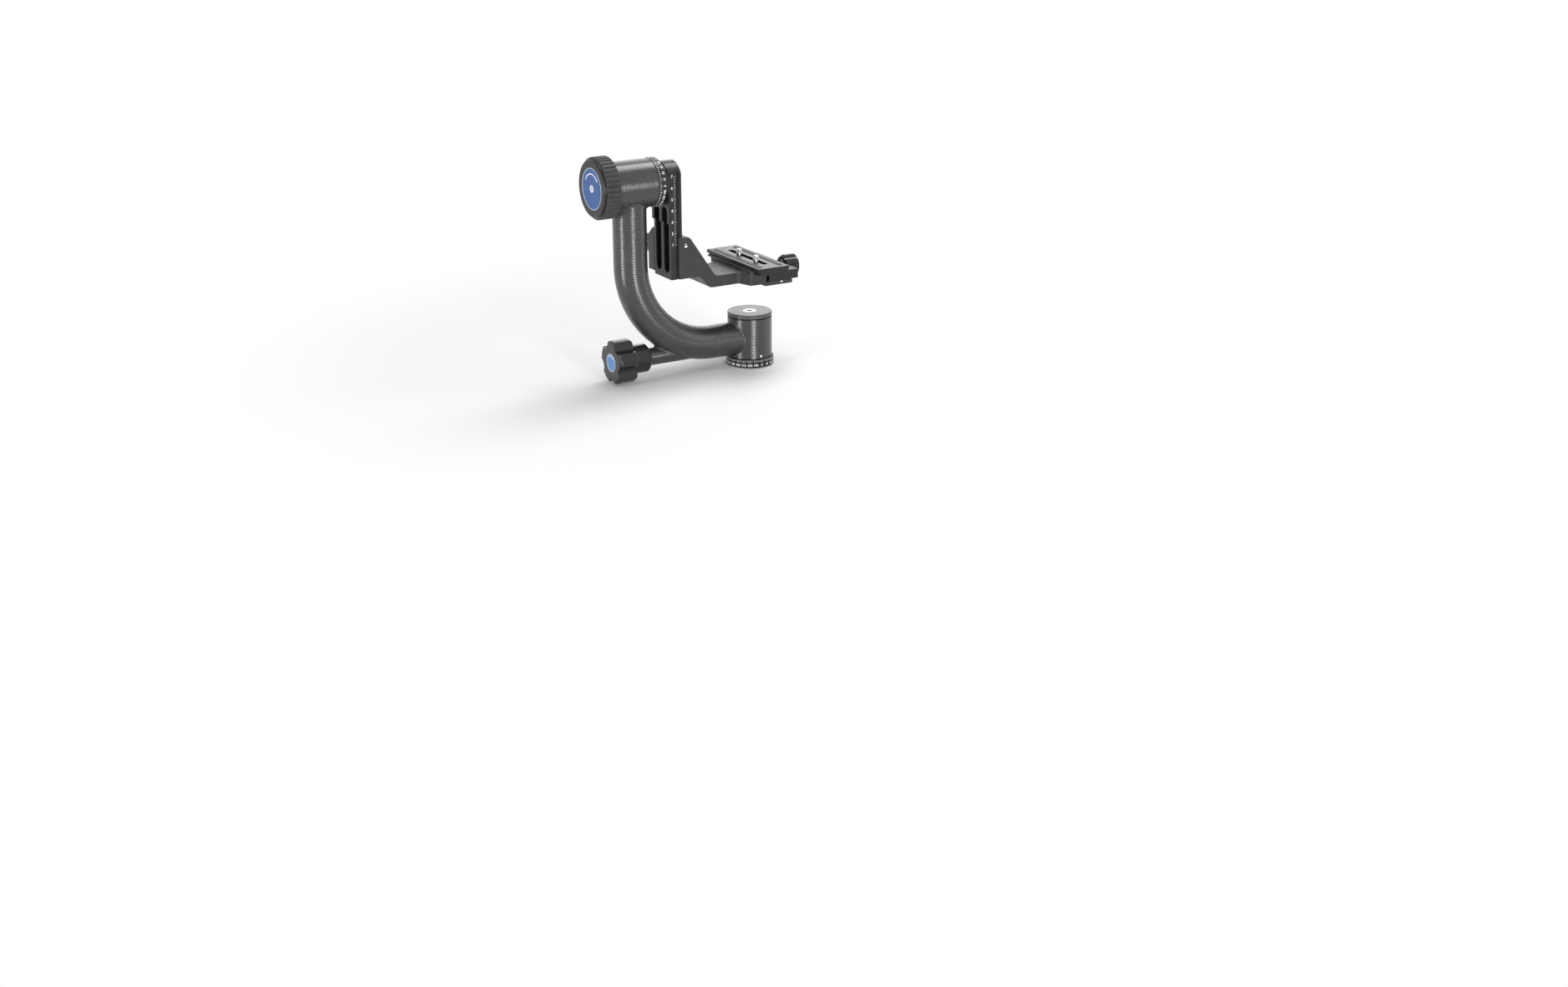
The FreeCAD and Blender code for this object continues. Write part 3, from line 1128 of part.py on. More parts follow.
def plate_pads():
    """Rubber strips that keep the lens foot from turning."""
    low = PLATE_TOP - PAD_DEPTH
    return [extruded(corners, "XY", low, low + PAD_T) for corners in pad_outlines()]


def lens_screws():
    """Two captive 1/4 inch screws with slotted heads, standing out of the plate's top."""
    screws = []
    head_low = PLATE_Z + TURN_GAP
    seat = head_low + LENS_SCREW_HEAD_H
    reach = LENS_SCREW_HEAD_R + OVERRUN
    for y in (PLATE_MID_Y - LENS_SCREW_SPREAD / 2, PLATE_MID_Y + LENS_SCREW_SPREAD / 2):
        at = V(PLATE_MID_X, y, 0)
        screw = rod(LENS_SCREW_HEAD_R, head_low, seat, "Z", at)
        shank = turned([(seat, 0), (seat, LENS_SCREW_NECK_R),
                        (PLATE_TOP + TURN_GAP, LENS_SCREW_NECK_R),
                        (PLATE_TOP + TURN_GAP, LENS_SCREW_R),
                        (PLATE_TOP + LENS_SCREW_OUT - EDGE, LENS_SCREW_R),
                        (PLATE_TOP + LENS_SCREW_OUT, LENS_SCREW_R - EDGE),
                        (PLATE_TOP + LENS_SCREW_OUT, 0)], "Z", at)
        screw = screw.fuse(shank).removeSplitter()
        slit = box((PLATE_MID_X - LENS_SLIT_W / 2, PLATE_MID_X + LENS_SLIT_W / 2),
                   (y - reach, y + reach), (head_low - OVERRUN, head_low + LENS_SLIT_DEPTH))
        screws.append(screw.cut(slit))
    return screws


# ---------------------------------------------------------------- the whole head
def build():
    """Write every node."""
    os.makedirs("parts", exist_ok=True)
    for piece in (base_spindle, pan_degree_ring, tripod_thread_bush, pan_brake_drum,
                  pan_wave_washer, pan_cap, pan_cap_screw, carbon_arm, pan_sleeve, pan_circlip,
                  tilt_sleeve, pan_knob_bush, push_rod_guide, pan_brake_pad, pan_push_rod,
                  pan_knob_grip, pan_knob_disc, pan_knob_stud, tilt_shaft, tilt_degree_ring,
                  tilt_spacer, tilt_circlip, swing_rail, tilt_pressure_ring,
                  tilt_friction_washer, tilt_knob_body, tilt_knob_grip, tilt_knob_disc,
                  tilt_knob_nut, cradle_bracket, height_jaw, clamp_jaw, height_knob_grip,
                  height_screw, clamp_knob_grip, clamp_screw, lens_plate):
        save(piece.__name__, piece())
    for group in (ring_screws, tilt_ring_screws, rail_bolts, rail_stop_screws,
                  height_guide_pins, clamp_guide_pins, plate_pads, lens_screws):
        save(group.__name__, *group())
    save("pan_inner_races", *[inner_race(z, "Z", ORIGIN) for z in (PAN_LOWER_Z, PAN_UPPER_Z)])
    save("pan_outer_races", *[outer_race(z, "Z", ORIGIN) for z in (PAN_LOWER_Z, PAN_UPPER_Z)])
    tilt_places = (TILT_BEARING_LEFT, TILT_BEARING_RIGHT)
    save("tilt_inner_races", *[inner_race(x, "X", TILT_CENTRE) for x in tilt_places])
    save("tilt_outer_races", *[outer_race(x, "X", TILT_CENTRE) for x in tilt_places])


build()
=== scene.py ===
"""Dress for a gimbal tripod head: finishes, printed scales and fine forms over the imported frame.

Everything is in metres, in the frame's own axes: +Z up along the pan axis, X along the tilt
axis with the arm at -X, and the lens looking along -Y.
"""

import json
import logging
import math
from collections.abc import Callable, Iterable, Iterator, Sequence
from contextlib import contextmanager
from dataclasses import dataclass, field
from enum import Enum
from functools import cache, partial

import bmesh
import bpy
from bpy.types import Material, Mesh, Node, NodeSocket, NodeTree, Object
from mathutils import Matrix, Vector

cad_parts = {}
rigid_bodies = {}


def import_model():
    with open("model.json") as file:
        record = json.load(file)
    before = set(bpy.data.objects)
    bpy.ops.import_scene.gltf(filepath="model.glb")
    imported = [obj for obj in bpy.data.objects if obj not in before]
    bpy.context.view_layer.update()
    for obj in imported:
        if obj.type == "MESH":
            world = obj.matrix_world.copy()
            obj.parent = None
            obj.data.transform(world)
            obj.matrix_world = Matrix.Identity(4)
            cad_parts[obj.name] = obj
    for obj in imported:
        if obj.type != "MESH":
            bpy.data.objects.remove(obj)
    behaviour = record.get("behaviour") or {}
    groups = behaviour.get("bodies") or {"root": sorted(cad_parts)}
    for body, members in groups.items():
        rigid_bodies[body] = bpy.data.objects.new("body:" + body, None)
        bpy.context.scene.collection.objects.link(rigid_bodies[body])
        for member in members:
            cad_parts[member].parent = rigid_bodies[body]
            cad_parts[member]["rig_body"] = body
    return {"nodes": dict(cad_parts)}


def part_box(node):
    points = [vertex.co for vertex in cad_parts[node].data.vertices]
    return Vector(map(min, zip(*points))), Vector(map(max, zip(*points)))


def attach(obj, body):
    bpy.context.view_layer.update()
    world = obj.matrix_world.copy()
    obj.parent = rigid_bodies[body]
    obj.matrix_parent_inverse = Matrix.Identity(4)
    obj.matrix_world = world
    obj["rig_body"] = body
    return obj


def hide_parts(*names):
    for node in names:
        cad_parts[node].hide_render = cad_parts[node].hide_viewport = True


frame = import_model()

log = logging.getLogger("gimbal_head")
MM = 0.001
Colour = tuple[float, float, float]
Point = tuple[float, float, float]
Outline = Sequence[tuple[float, float]]
RIGHT, BACK, UP = Vector((1, 0, 0)), Vector((0, 1, 0)), Vector((0, 0, 1))
LEFT, FRONT = Vector((-1, 0, 0)), Vector((0, -1, 0))


# ---- reading the frame
@dataclass(frozen=True)
class Spread:
    """The box of a CAD node at rest.

    Args:
        low: lowest corner.
        high: highest corner.
    """

    low: Vector
    high: Vector

    @classmethod
    @cache
    def of(cls, node: str) -> "Spread":
        """Reads a node's box once."""
        return cls(*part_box(node))

    @property
    def centre(self) -> Vector:
        """Middle of the box."""
        return (self.low + self.high) / 2

    @property
    def size(self) -> Vector:
        """Extents along the three axes."""
        return self.high - self.low


@dataclass
class ArmLine:
    """Centreline of the arm and radii of its round parts.

    Args:
        level_z: height of the level run.
        bend_radius: radius of the bend's centreline.
        tube_radius: outside radius of the tube.
    """

    level_z: float = 30.5 * MM
    bend_radius: float = 96.5 * MM
    tube_radius: float = 17.9 * MM

    def __post_init__(self) -> None:
        """Reads the other places and radii from the frame."""
        sleeve, moulding = Spread.of("tilt_sleeve").centre, Spread.of("carbon_arm")
        self.bend_x = sleeve.x + self.bend_radius
        self.bend_z = self.level_z + self.bend_radius
        self.tilt_z = sleeve.z
        self.tilt_radius = moulding.high.z - sleeve.z
        self.pan_radius = moulding.high.x
        self.stub_z = Spread.of("pan_knob_stud").centre.z
        self.stub_radius = Spread.of("pan_knob_bush").size.z / 2


# ---- building node trees
@dataclass(frozen=True)
class Wire:
    """A value that flows between nodes, with ordinary arithmetic.

    Args:
        socket: the output socket that it comes from.
    """

    socket: NodeSocket

    def op(self, kind: str, *others: "Wire | float") -> "Wire":
        """Math node on this value.

        Args:
            kind: operation of the node.
            others: further operands.

        Returns:
            The result.
        """
        node = self.socket.id_data.nodes.new("ShaderNodeMath")
        node.operation = kind
        for slot, value in zip(node.inputs, (self, *others)):
            feed(slot, value)
        return Wire(node.outputs[0])

    def __add__(self, other: "Wire | float") -> "Wire":
        """Sum."""
        return self.op("ADD", other)

    def __sub__(self, other: "Wire | float") -> "Wire":
        """Difference."""
        return self.op("SUBTRACT", other)

    def __mul__(self, other: "Wire | float") -> "Wire":
        """Product."""
        return self.op("MULTIPLY", other)

    def __truediv__(self, other: "Wire | float") -> "Wire":
        """Quotient."""
        return self.op("DIVIDE", other)

    def clamp(self, low: float, high: float) -> "Wire":
        """The value, held between two limits."""
        return self.op("MINIMUM", high).op("MAXIMUM", low)

    def mix(self, other: "Wire", share: "Wire") -> "Wire":
        """Blend from this value to another by a share of 0 to 1."""
        return self + (other - self) * share


def feed(slot: NodeSocket, value: object) -> None:
    """Links an input socket to a Wire, or sets it to a constant.

    Args:
        slot: the input socket.
        value: the Wire or the constant.
    """
    if isinstance(value, Wire):
        slot.id_data.links.new(value.socket, slot)
    else:
        slot.default_value = value


@dataclass
class Graph:
    """A node tree under construction.

    Args:
        tree: the tree that receives the nodes.
    """

    tree: NodeTree

    @classmethod
    def group(cls, name: str, inputs: dict[str, object], outputs: dict[str, type],
              kind: str = "ShaderNodeTree") -> tuple["Graph", dict[str, Wire]]:
        """Starts a node group with named sockets.

        Args:
            name: name of the group.
            inputs: socket name to its default, or to None for a material.
            outputs: socket name to its type.
            kind: type of the tree.

        Returns:
            The group's graph, and its inputs as they are seen inside.
        """
        sockets = {float: "NodeSocketFloat", int: "NodeSocketInt", tuple: "NodeSocketVector",
                   type(None): "NodeSocketMaterial", Mesh: "NodeSocketGeometry"}
        tree = bpy.data.node_groups.new(name, kind)
        for label, default in inputs.items():
            socket = tree.interface.new_socket(name=label, in_out="INPUT",
                                               socket_type=sockets[type(default)])
            if default is not None:
                socket.default_value = default
        for label, form in outputs.items():
            tree.interface.new_socket(name=label, in_out="OUTPUT", socket_type=sockets[form])
        enter = tree.nodes.new("NodeGroupInput")
        return cls(tree), {socket.name: Wire(socket) for socket in enter.outputs}

    def close(self, **results: Wire) -> NodeTree:
        """Feeds the group's outputs by name and gives its tree."""
        self.node("NodeGroupOutput", results)
        return self.tree

    def node(self, kind: str, inputs: dict[str | int, object] | None = None,
             **settings: object) -> Node:
        """Adds a node.

        Args:
            kind: node type.
            inputs: name or number of an input to a constant or a Wire.
            settings: properties of the node.

        Returns:
            The node.
        """
        made = self.tree.nodes.new(kind)
        for name, value in settings.items():
            setattr(made, name, value)
        for name, value in (inputs or {}).items():
            feed(made.inputs[name], value)
        return made

    def out(self, kind: str, inputs: dict[str | int, object] | None = None,
            output: str | int = 0, **settings: object) -> Wire:
        """Adds a node as node() does, and gives one of its outputs."""
        return Wire(self.node(kind, inputs, **settings).outputs[output])

    def use(self, group: NodeTree, **inputs: object) -> dict[str, Wire]:
        """Adds a shader node group, and gives its outputs by name."""
        made = self.node("ShaderNodeGroup", inputs, node_tree=group)
        return {socket.name: Wire(socket) for socket in made.outputs}

    def axes(self, vector: Wire) -> tuple[Wire, Wire, Wire]:
        """Splits a vector into three numbers."""
        parts = self.node("ShaderNodeSeparateXYZ", {"Vector": vector})
        return tuple(Wire(socket) for socket in parts.outputs)

    def vector(self, x: Wire | float, y: Wire | float, z: Wire | float) -> Wire:
        """Joins three numbers into a vector."""
        return self.out("ShaderNodeCombineXYZ", {"X": x, "Y": y, "Z": z})

    def blend(self, share: Wire, first: object, second: object) -> Wire:
        """Blends two colours by a share of 0 to 1."""
        return self.out("ShaderNodeMix", {0: share, 6: first, 7: second}, 2, data_type="RGBA")

    def ramp(self, value: Wire, low: tuple[float, Colour], high: tuple[float, Colour]) -> Wire:
        """Colour ramp between two stops.

        Args:
            value: factor that picks the colour.
            low: position and colour of the first stop.
            high: position and colour of the last stop.

        Returns:
            The colour.
        """
        made = self.node("ShaderNodeValToRGB", {"Fac": value})
        for element, (position, colour) in zip(made.color_ramp.elements, (low, high)):
            element.position = position
            element.color = (*colour, 1.0)
        return Wire(made.outputs["Color"])


# ---- finishes
class Effects:
    """Shader node groups that several finishes share."""

    zero = (0.0, 0.0, 0.0)
    cloud = 14 * MM  # size of the slow clouds
    speck_scale = 900.0  # dust specks per metre
    crossing = 2.5  # how abruptly one tow gives way to the next
    gap_rise = 2.2  # how abruptly a tow rises out of its gap
    crimp_rise = 1.6  # how soon a tow reaches its full slope
    margins = {"tilt": 1.2 * MM, "pan": 0.8 * MM, "stub": 0.6 * MM, "tube": 0.5 * MM}

    def __init__(self) -> None:
        """Builds each group once."""
        self.grain = self._grain()
        self.weave = self._weave()
        self.dust = self._dust()
        self.arm_map = self._arm_map()
        self.crimp = self._crimp()

    def _grain(self) -> NodeTree:
        """Fine bead-blasted or moulded grain: a height, and slow clouds for tone.

        Returns:
            The group's tree.
        """
        graph, enter = Graph.group("fine grain", {"Vector": self.zero, "Size": 0.4 * MM},
                                   {"Height": float, "Clouds": float})
        fine = graph.out("ShaderNodeTexNoise", {"Vector": enter["Vector"], "Detail": 2.0,
                                                "Scale": enter["Size"].op("POWER", -1.0)})
        slow = graph.out("ShaderNodeTexNoise", {"Vector": enter["Vector"], "Detail": 4.0,
                                                "Roughness": 0.6, "Scale": 1 / self.cloud})
        return graph.close(Height=fine, Clouds=slow)

    def _dust(self) -> NodeTree:
        """Faint dust that settles on faces that look up.

        Returns:
            The group's tree.
        """
        graph, enter = Graph.group("settled dust", {"Vector": self.zero, "Amount": 0.1},
                                   {"Mask": float})
        upward = graph.axes(graph.out("ShaderNodeTexCoord", output="Normal"))[2]
        specks = graph.out("ShaderNodeTexNoise", {"Vector": enter["Vector"], "Detail": 5.0,
                                                  "Roughness": 0.8, "Scale": self.speck_scale})
        return graph.close(Mask=upward.op("MAXIMUM", 0.0) * specks * enter["Amount"])

    def _weave(self) -> NodeTree:
        """Plain weave of carbon tows on a flat map in metres.

        The height swells over each tow and dips at the crossings.  The side says which way
        the tow on top runs, the gap is 0 between the tows, and the lean is the rise or fall
        of the tows that run along the piece.

        Returns:
            The group's tree.
        """
        graph, enter = Graph.group(
            "carbon weave", {"Map": self.zero, "Tow": 1.0 * MM},
            {"Height": float, "Side": float, "Gap": float, "Lean": float})
        u, v, _ = graph.axes(enter["Map"])
        turn_u = u / enter["Tow"] * math.pi
        turn_v = v / enter["Tow"] * math.pi
        wave_u, wave_v = turn_u.op("SINE"), turn_v.op("SINE")
        side = (wave_u * wave_v * self.crossing + 0.5).clamp(0.0, 1.0)
        crown_u, crown_v = wave_u.op("ABSOLUTE"), wave_v.op("ABSOLUTE")
        rise = (turn_v.op("COSINE") * self.crimp_rise).clamp(-1.0, 1.0)
        return graph.close(Height=crown_u.mix(crown_v, side), Side=side,
                           Gap=(crown_u * crown_v * self.gap_rise).op("MINIMUM", 1.0),
                           Lean=rise * wave_v.op("SIGN"))

    def _crimp(self) -> NodeTree:
        """Normal of tows that rise and sink along the piece as they cross each other.

        Returns:
            The group's tree.
        """
        graph, enter = Graph.group("tow crimp", {"Axis": (0.0, 0.0, 1.0), "Lean": 0.0,
                                                 "Slope": 0.2}, {"Normal": tuple})
        tilt = graph.out("ShaderNodeVectorMath", {0: enter["Axis"],
                                                  "Scale": enter["Lean"] * enter["Slope"]},
                         operation="SCALE")
        facing = graph.out("ShaderNodeTexCoord", output="Normal")
        total = graph.out("ShaderNodeVectorMath", {0: facing, 1: tilt}, operation="ADD")
        world = graph.out("ShaderNodeVectorTransform", {"Vector": total}, vector_type="NORMAL",
                          convert_from="OBJECT", convert_to="WORLD")
        return graph.close(Normal=graph.out("ShaderNodeVectorMath", {0: world},
                                            operation="NORMALIZE"))

    def _arm_map(self) -> NodeTree:
        """Flat map of the arm: distance round the piece, and distance along it, in metres.

        The level run, the quarter bend and the upright run share one length along their
        centreline.  Each round housing has its own map, chosen by distance from its axis.

        Returns:
            The group's tree.
        """
        arm = ArmLine()
        graph, enter = Graph.group("arm map", {"Vector": self.zero},
                                   {"Map": tuple, "Axis": tuple})
        x, y, z = graph.axes(enter["Vector"])

        def reach(a: Wire, b: Wire) -> Wire:
            """Length of a two-part offset."""
            return (a * a + b * b).op("SQRT")

        def rest(share: Wire) -> Wire:
            """What a share leaves of 1."""
            return (share - 1.0) * -1.0

        def near(distance: Wire, radius: float, part: str) -> Wire:
            """1 within a radius and its margin."""
            return distance.op("LESS_THAN", radius + self.margins[part])

        left = ((x - arm.bend_x) * -1.0).op("MAXIMUM", 0.0)
        down = ((z - arm.bend_z) * -1.0).op("MAXIMUM", 0.0)
        sweep = left.op("ARCTAN2", down)
        level_side = (x - arm.bend_x).op("MAXIMUM", 0.0) * -1.0
        post_side = (z - arm.bend_z).op("MAXIMUM", 0.0)
        along = sweep * arm.bend_radius + level_side + post_side
        outward = reach(left, down) - arm.bend_radius
        above_tilt, above_stub = z - arm.tilt_z, z - arm.stub_z
        near_tilt = near(reach(y, above_tilt), arm.tilt_radius, "tilt")
        near_pan = near(reach(x, y), arm.pan_radius, "pan")
        off_tube = rest(near(reach(y, outward), arm.tube_radius, "tube"))
        on_stub = (near(reach(y, above_stub), arm.stub_radius, "stub") * off_tube
                   * x.op("LESS_THAN", arm.bend_x))
        round_tube = y.op("ARCTAN2", outward) * arm.tube_radius
        round_stub = y.op("ARCTAN2", above_stub) * arm.stub_radius
        round_tilt = y.op("ARCTAN2", above_tilt) * arm.tilt_radius
        round_pan = y.op("ARCTAN2", x) * arm.pan_radius
        u = round_tube.mix(round_stub, on_stub).mix(round_tilt, near_tilt).mix(round_pan, near_pan)
        v = along.mix(x, on_stub).mix(x, near_tilt).mix(z, near_pan)
        on_level = on_stub.op("MAXIMUM", near_tilt) * rest(near_pan)
        on_tube = rest(on_level.op("MAXIMUM", near_pan))
        axis_x = on_level - on_tube * sweep.op("COSINE")
        axis_z = near_pan + on_tube * sweep.op("SINE")
        return graph.close(Map=graph.vector(u, v, 0.0), Axis=graph.vector(axis_x, 0.0, axis_z))


EFFECTS = Effects()


@dataclass(frozen=True)
class Finish:
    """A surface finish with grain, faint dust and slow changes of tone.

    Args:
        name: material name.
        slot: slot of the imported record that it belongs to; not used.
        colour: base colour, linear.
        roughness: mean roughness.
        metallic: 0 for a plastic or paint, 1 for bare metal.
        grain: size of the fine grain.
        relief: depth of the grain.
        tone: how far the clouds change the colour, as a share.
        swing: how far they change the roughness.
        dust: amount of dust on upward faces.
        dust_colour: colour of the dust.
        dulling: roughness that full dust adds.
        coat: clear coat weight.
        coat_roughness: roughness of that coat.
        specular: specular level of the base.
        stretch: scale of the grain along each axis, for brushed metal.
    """

    name: str
    slot: str
    colour: Colour
    roughness: float
    metallic: float = 0.0
    grain: float = 0.35 * MM
    relief: float = 0.01 * MM
    tone: float = 0.12
    swing: float = 0.18
    dust: float = 0.05
    dust_colour: Colour = (0.32, 0.31, 0.30)
    dulling: float = 0.5
    coat: float = 0.0
    coat_roughness: float = 0.1
    specular: float = 0.5
    stretch: Point = (1.0, 1.0, 1.0)

    thin_cloud = 0.3  # cloud values where the tone is darkest and lightest
    thick_cloud = 0.7
    lift = 0.002  # how much full tone lightens even black

    def build(self) -> Material:
        """Makes the material.

        Returns:
            The node material.
        """
        material = bpy.data.materials.new(self.name)
        material.use_nodes = True
        material.diffuse_color = (*self.colour, 1.0)
        graph = Graph(material.node_tree)
        shader = material.node_tree.nodes["Principled BSDF"]
        surface = self.shade(graph, graph.out("ShaderNodeTexCoord", output="Object"))
        surface |= {"Specular IOR Level": self.specular, "Coat Roughness": self.coat_roughness,
                    "Coat Weight": self.coat, "Metallic": self.metallic}
        for name, value in surface.items():
            feed(shader.inputs[name], value)
        return material

    def shade(self, graph: Graph, place: Wire) -> dict[str, object]:
        """Colour, roughness and normal.

        Args:
            graph: graph of the material.
            place: Object coordinates.

        Returns:
            What feeds each of the shader's inputs.
        """
        scaled = graph.out("ShaderNodeMapping", {"Vector": place, "Scale": self.stretch})
        grain = graph.use(EFFECTS.grain, Vector=scaled, Size=self.grain)
        dust = graph.use(EFFECTS.dust, Vector=place, Amount=self.dust)["Mask"]
        clouds = grain["Clouds"]
        dark = tuple(c * (1 - self.tone) for c in self.colour)
        light = tuple(c * (1 + self.tone) + self.lift * self.tone for c in self.colour)
        tone = graph.ramp(clouds, (self.thin_cloud, dark), (self.thick_cloud, light))
        bump = graph.out("ShaderNodeBump", {"Height": grain["Height"], "Strength": 1.0,
                                            "Distance": self.relief})
        return {"Base Color": graph.blend(dust, tone, (*self.dust_colour, 1.0)),
                "Roughness": (clouds - 0.5) * self.swing + self.roughness + dust * self.dulling,
                "Normal": bump}


@dataclass(frozen=True)
class CarbonFinish(Finish):
    """Woven carbon under a clear lacquer, mapped along the arm.

    Args:
        tow: width of one tow.
        over: colour of the tows that run along the piece.
        under: colour of the tows that run round it.
        gap: colour between the tows.
        slope: steepest rise of a tow along the piece.
    """

    swing: float = 0.05
    tow: float = 1.3 * MM
    over: Colour = (0.084, 0.084, 0.086)
    under: Colour = (0.010, 0.010, 0.011)
    gap: Colour = (0.003, 0.003, 0.003)
    slope: float = 0.24

    def shade(self, graph: Graph, place: Wire) -> dict[str, object]:
        """The weave's colour, gloss and relief.

        Args:
            graph: graph of the material.
            place: Object coordinates.

        Returns:
            What feeds each of the shader's inputs.
        """
        flat = graph.use(EFFECTS.arm_map, Vector=place)
        weave = graph.use(EFFECTS.weave, Map=flat["Map"], Tow=self.tow)
        crimp = graph.use(EFFECTS.crimp, Axis=flat["Axis"], Lean=weave["Lean"], Slope=self.slope)
        clouds = graph.use(EFFECTS.grain, Vector=place)["Clouds"]
        tows = graph.ramp(weave["Side"], (0.0, self.under), (1.0, self.over))
        bump = graph.out("ShaderNodeBump", {"Height": weave["Height"], "Strength": 1.0,
                                            "Normal": crimp["Normal"], "Distance": self.relief})
        return {"Base Color": graph.blend(weave["Gap"], (*self.gap, 1.0), tows),
                "Roughness": weave["Side"] * self.swing + self.roughness + clouds * self.swing,
                "Normal": bump}


class Look(Enum):
    """The head's finishes."""

    CARBON = CarbonFinish("woven carbon", "carbon", (0.03, 0.03, 0.031), 0.14, relief=0.03 * MM,
                          specular=0.55)
    BLACK = Finish("satin black anodised", "black_metal", (0.016, 0.016, 0.0165), 0.28,
                   relief=0.006 * MM, specular=0.32)
    RIM = Finish("gloss black rim", "black_metal", (0.009, 0.009, 0.009), 0.20,
                 relief=0.003 * MM, specular=0.28)
    CAP = Finish("satin cap", "black_metal", (0.045, 0.045, 0.046), 0.30,
                 relief=0.005 * MM, specular=0.8)
    GREY = Finish("dark grey anodised", "grey_metal", (0.031, 0.031, 0.032), 0.40,
                  relief=0.008 * MM, specular=0.28)
    PLASTIC = Finish("gloss black knob", "knob_plastic", (0.011, 0.0105, 0.010), 0.20,
                     relief=0.003 * MM, specular=0.36, coat=0.12, coat_roughness=0.08)
    RUBBER = Finish("ribbed rubber", "rubber", (0.032, 0.032, 0.032), 0.50, relief=0.02 * MM,
                    tone=0.2, dust=0.06, specular=0.28)
    BLUE = Finish("blue anodised", "blue_disc", (0.030, 0.086, 0.250), 0.36,
                  relief=0.004 * MM, specular=0.25, tone=0.06)
    BLUE_LIGHT = Finish("light blue anodised", "blue_disc", (0.092, 0.220, 0.455), 0.34,
                        relief=0.004 * MM, specular=0.25, tone=0.06)
    # Turned rim of the lock discs: its light colour is a painted highlight, standing in for the
    # glint on the rim's edge.
    EDGE = Finish("turned rim with painted glint", "blue_disc", (0.46, 0.52, 0.62), 0.22, metallic=0.6,
                  relief=0.003 * MM, tone=0.04)
    STEEL = Finish("bright steel", "steel", (0.56, 0.56, 0.57), 0.27, metallic=1.0,
                   relief=0.004 * MM, tone=0.06, stretch=(1.0, 1.0, 0.15))
    BLACK_STEEL = Finish("blackened screws", "steel", (0.028, 0.028, 0.029), 0.32, metallic=0.3,
                         relief=0.004 * MM)
    LINER = Finish("machined liner", "liner", (0.50, 0.50, 0.51), 0.34, metallic=0.9,
                   relief=0.004 * MM)
    BRASS = Finish("turned brass", "brass", (0.70, 0.52, 0.24), 0.30, metallic=1.0,
                   relief=0.004 * MM)
    ACETAL = Finish("acetal", "friction", (0.72, 0.70, 0.63), 0.45, relief=0.008 * MM)
    INK = Finish("white print", "black_metal", (0.80, 0.80, 0.80), 0.5, relief=0.002 * MM,
                 tone=0.04, dust=0.0)

    @property
    def material(self) -> Material:
        """The finish's material, made on first use."""
        return bpy.data.materials.get(self.value.name) or self.value.build()


# ---- building meshes
SAME_POINT = 1e-7


@contextmanager
def edited(mesh: Mesh) -> Iterator[bmesh.types.BMesh]:
    """Opens a mesh for editing, and writes it back at the end.

    Args:
        mesh: the mesh.

    Yields:
        Its editable form.
    """
    work = bmesh.new()
    work.from_mesh(mesh)
    yield work
    work.to_mesh(mesh)
    work.free()


def dress(piece: Object, look: Look) -> Object:
    """Gives a piece one finish.

    Args:
        piece: mesh object.
        look: finish.

    Returns:
        The same piece.
    """
    piece.data.materials.clear()
    piece.data.materials.append(look.material)
    return piece


def as_object(name: str, data: bpy.types.ID) -> Object:
    """Links a mesh, curve, light or camera as an object at the origin.

    Args:
        name: name of the object.
        data: what it holds.

    Returns:
        The object.
    """
    made = bpy.data.objects.new(name, data)
    bpy.context.scene.collection.objects.link(made)
    return made


def from_faces(name: str, points: Iterable[Sequence[float]],
               faces: Iterable[Sequence[int]]) -> Mesh:
    """Mesh of points and faces, with its faces pointing outwards.

    Args:
        name: name of the mesh.
        points: corners.
        faces: corner numbers of each face.

    Returns:
        The mesh.
    """
    mesh = bpy.data.meshes.new(name)
    mesh.from_pydata([tuple(p) for p in points], [], [tuple(f) for f in faces])
    with edited(mesh) as work:
        bmesh.ops.remove_doubles(work, verts=work.verts, dist=SAME_POINT)
        bmesh.ops.dissolve_degenerate(work, dist=SAME_POINT, edges=work.edges)
        bmesh.ops.recalc_face_normals(work, faces=work.faces)
    return mesh


def evaluated(piece: Object) -> Mesh:
    """A plain mesh of an object as its modifiers or its text make it."""
    graph = bpy.context.evaluated_depsgraph_get()
    return bpy.data.meshes.new_from_object(piece.evaluated_get(graph))


def baked(piece: Object) -> Object:
    """Applies a piece's modifiers.

    Args:
        piece: object with live modifiers.

    Returns:
        The same object with a plain mesh.
    """
    mesh = evaluated(piece)
    mesh.name = piece.name
    piece.modifiers.clear()
    piece.data = mesh
    return piece


def smoothed(piece: Object, angle: float) -> Object:
    """Shades a piece smooth.

    Args:
        piece: mesh object.
        angle: edges sharper than this, in degrees, stay sharp.

    Returns:
        The same piece.
    """
    piece.data.shade_smooth()
    piece.data.set_sharp_from_angle(angle=math.radians(angle))
    return piece


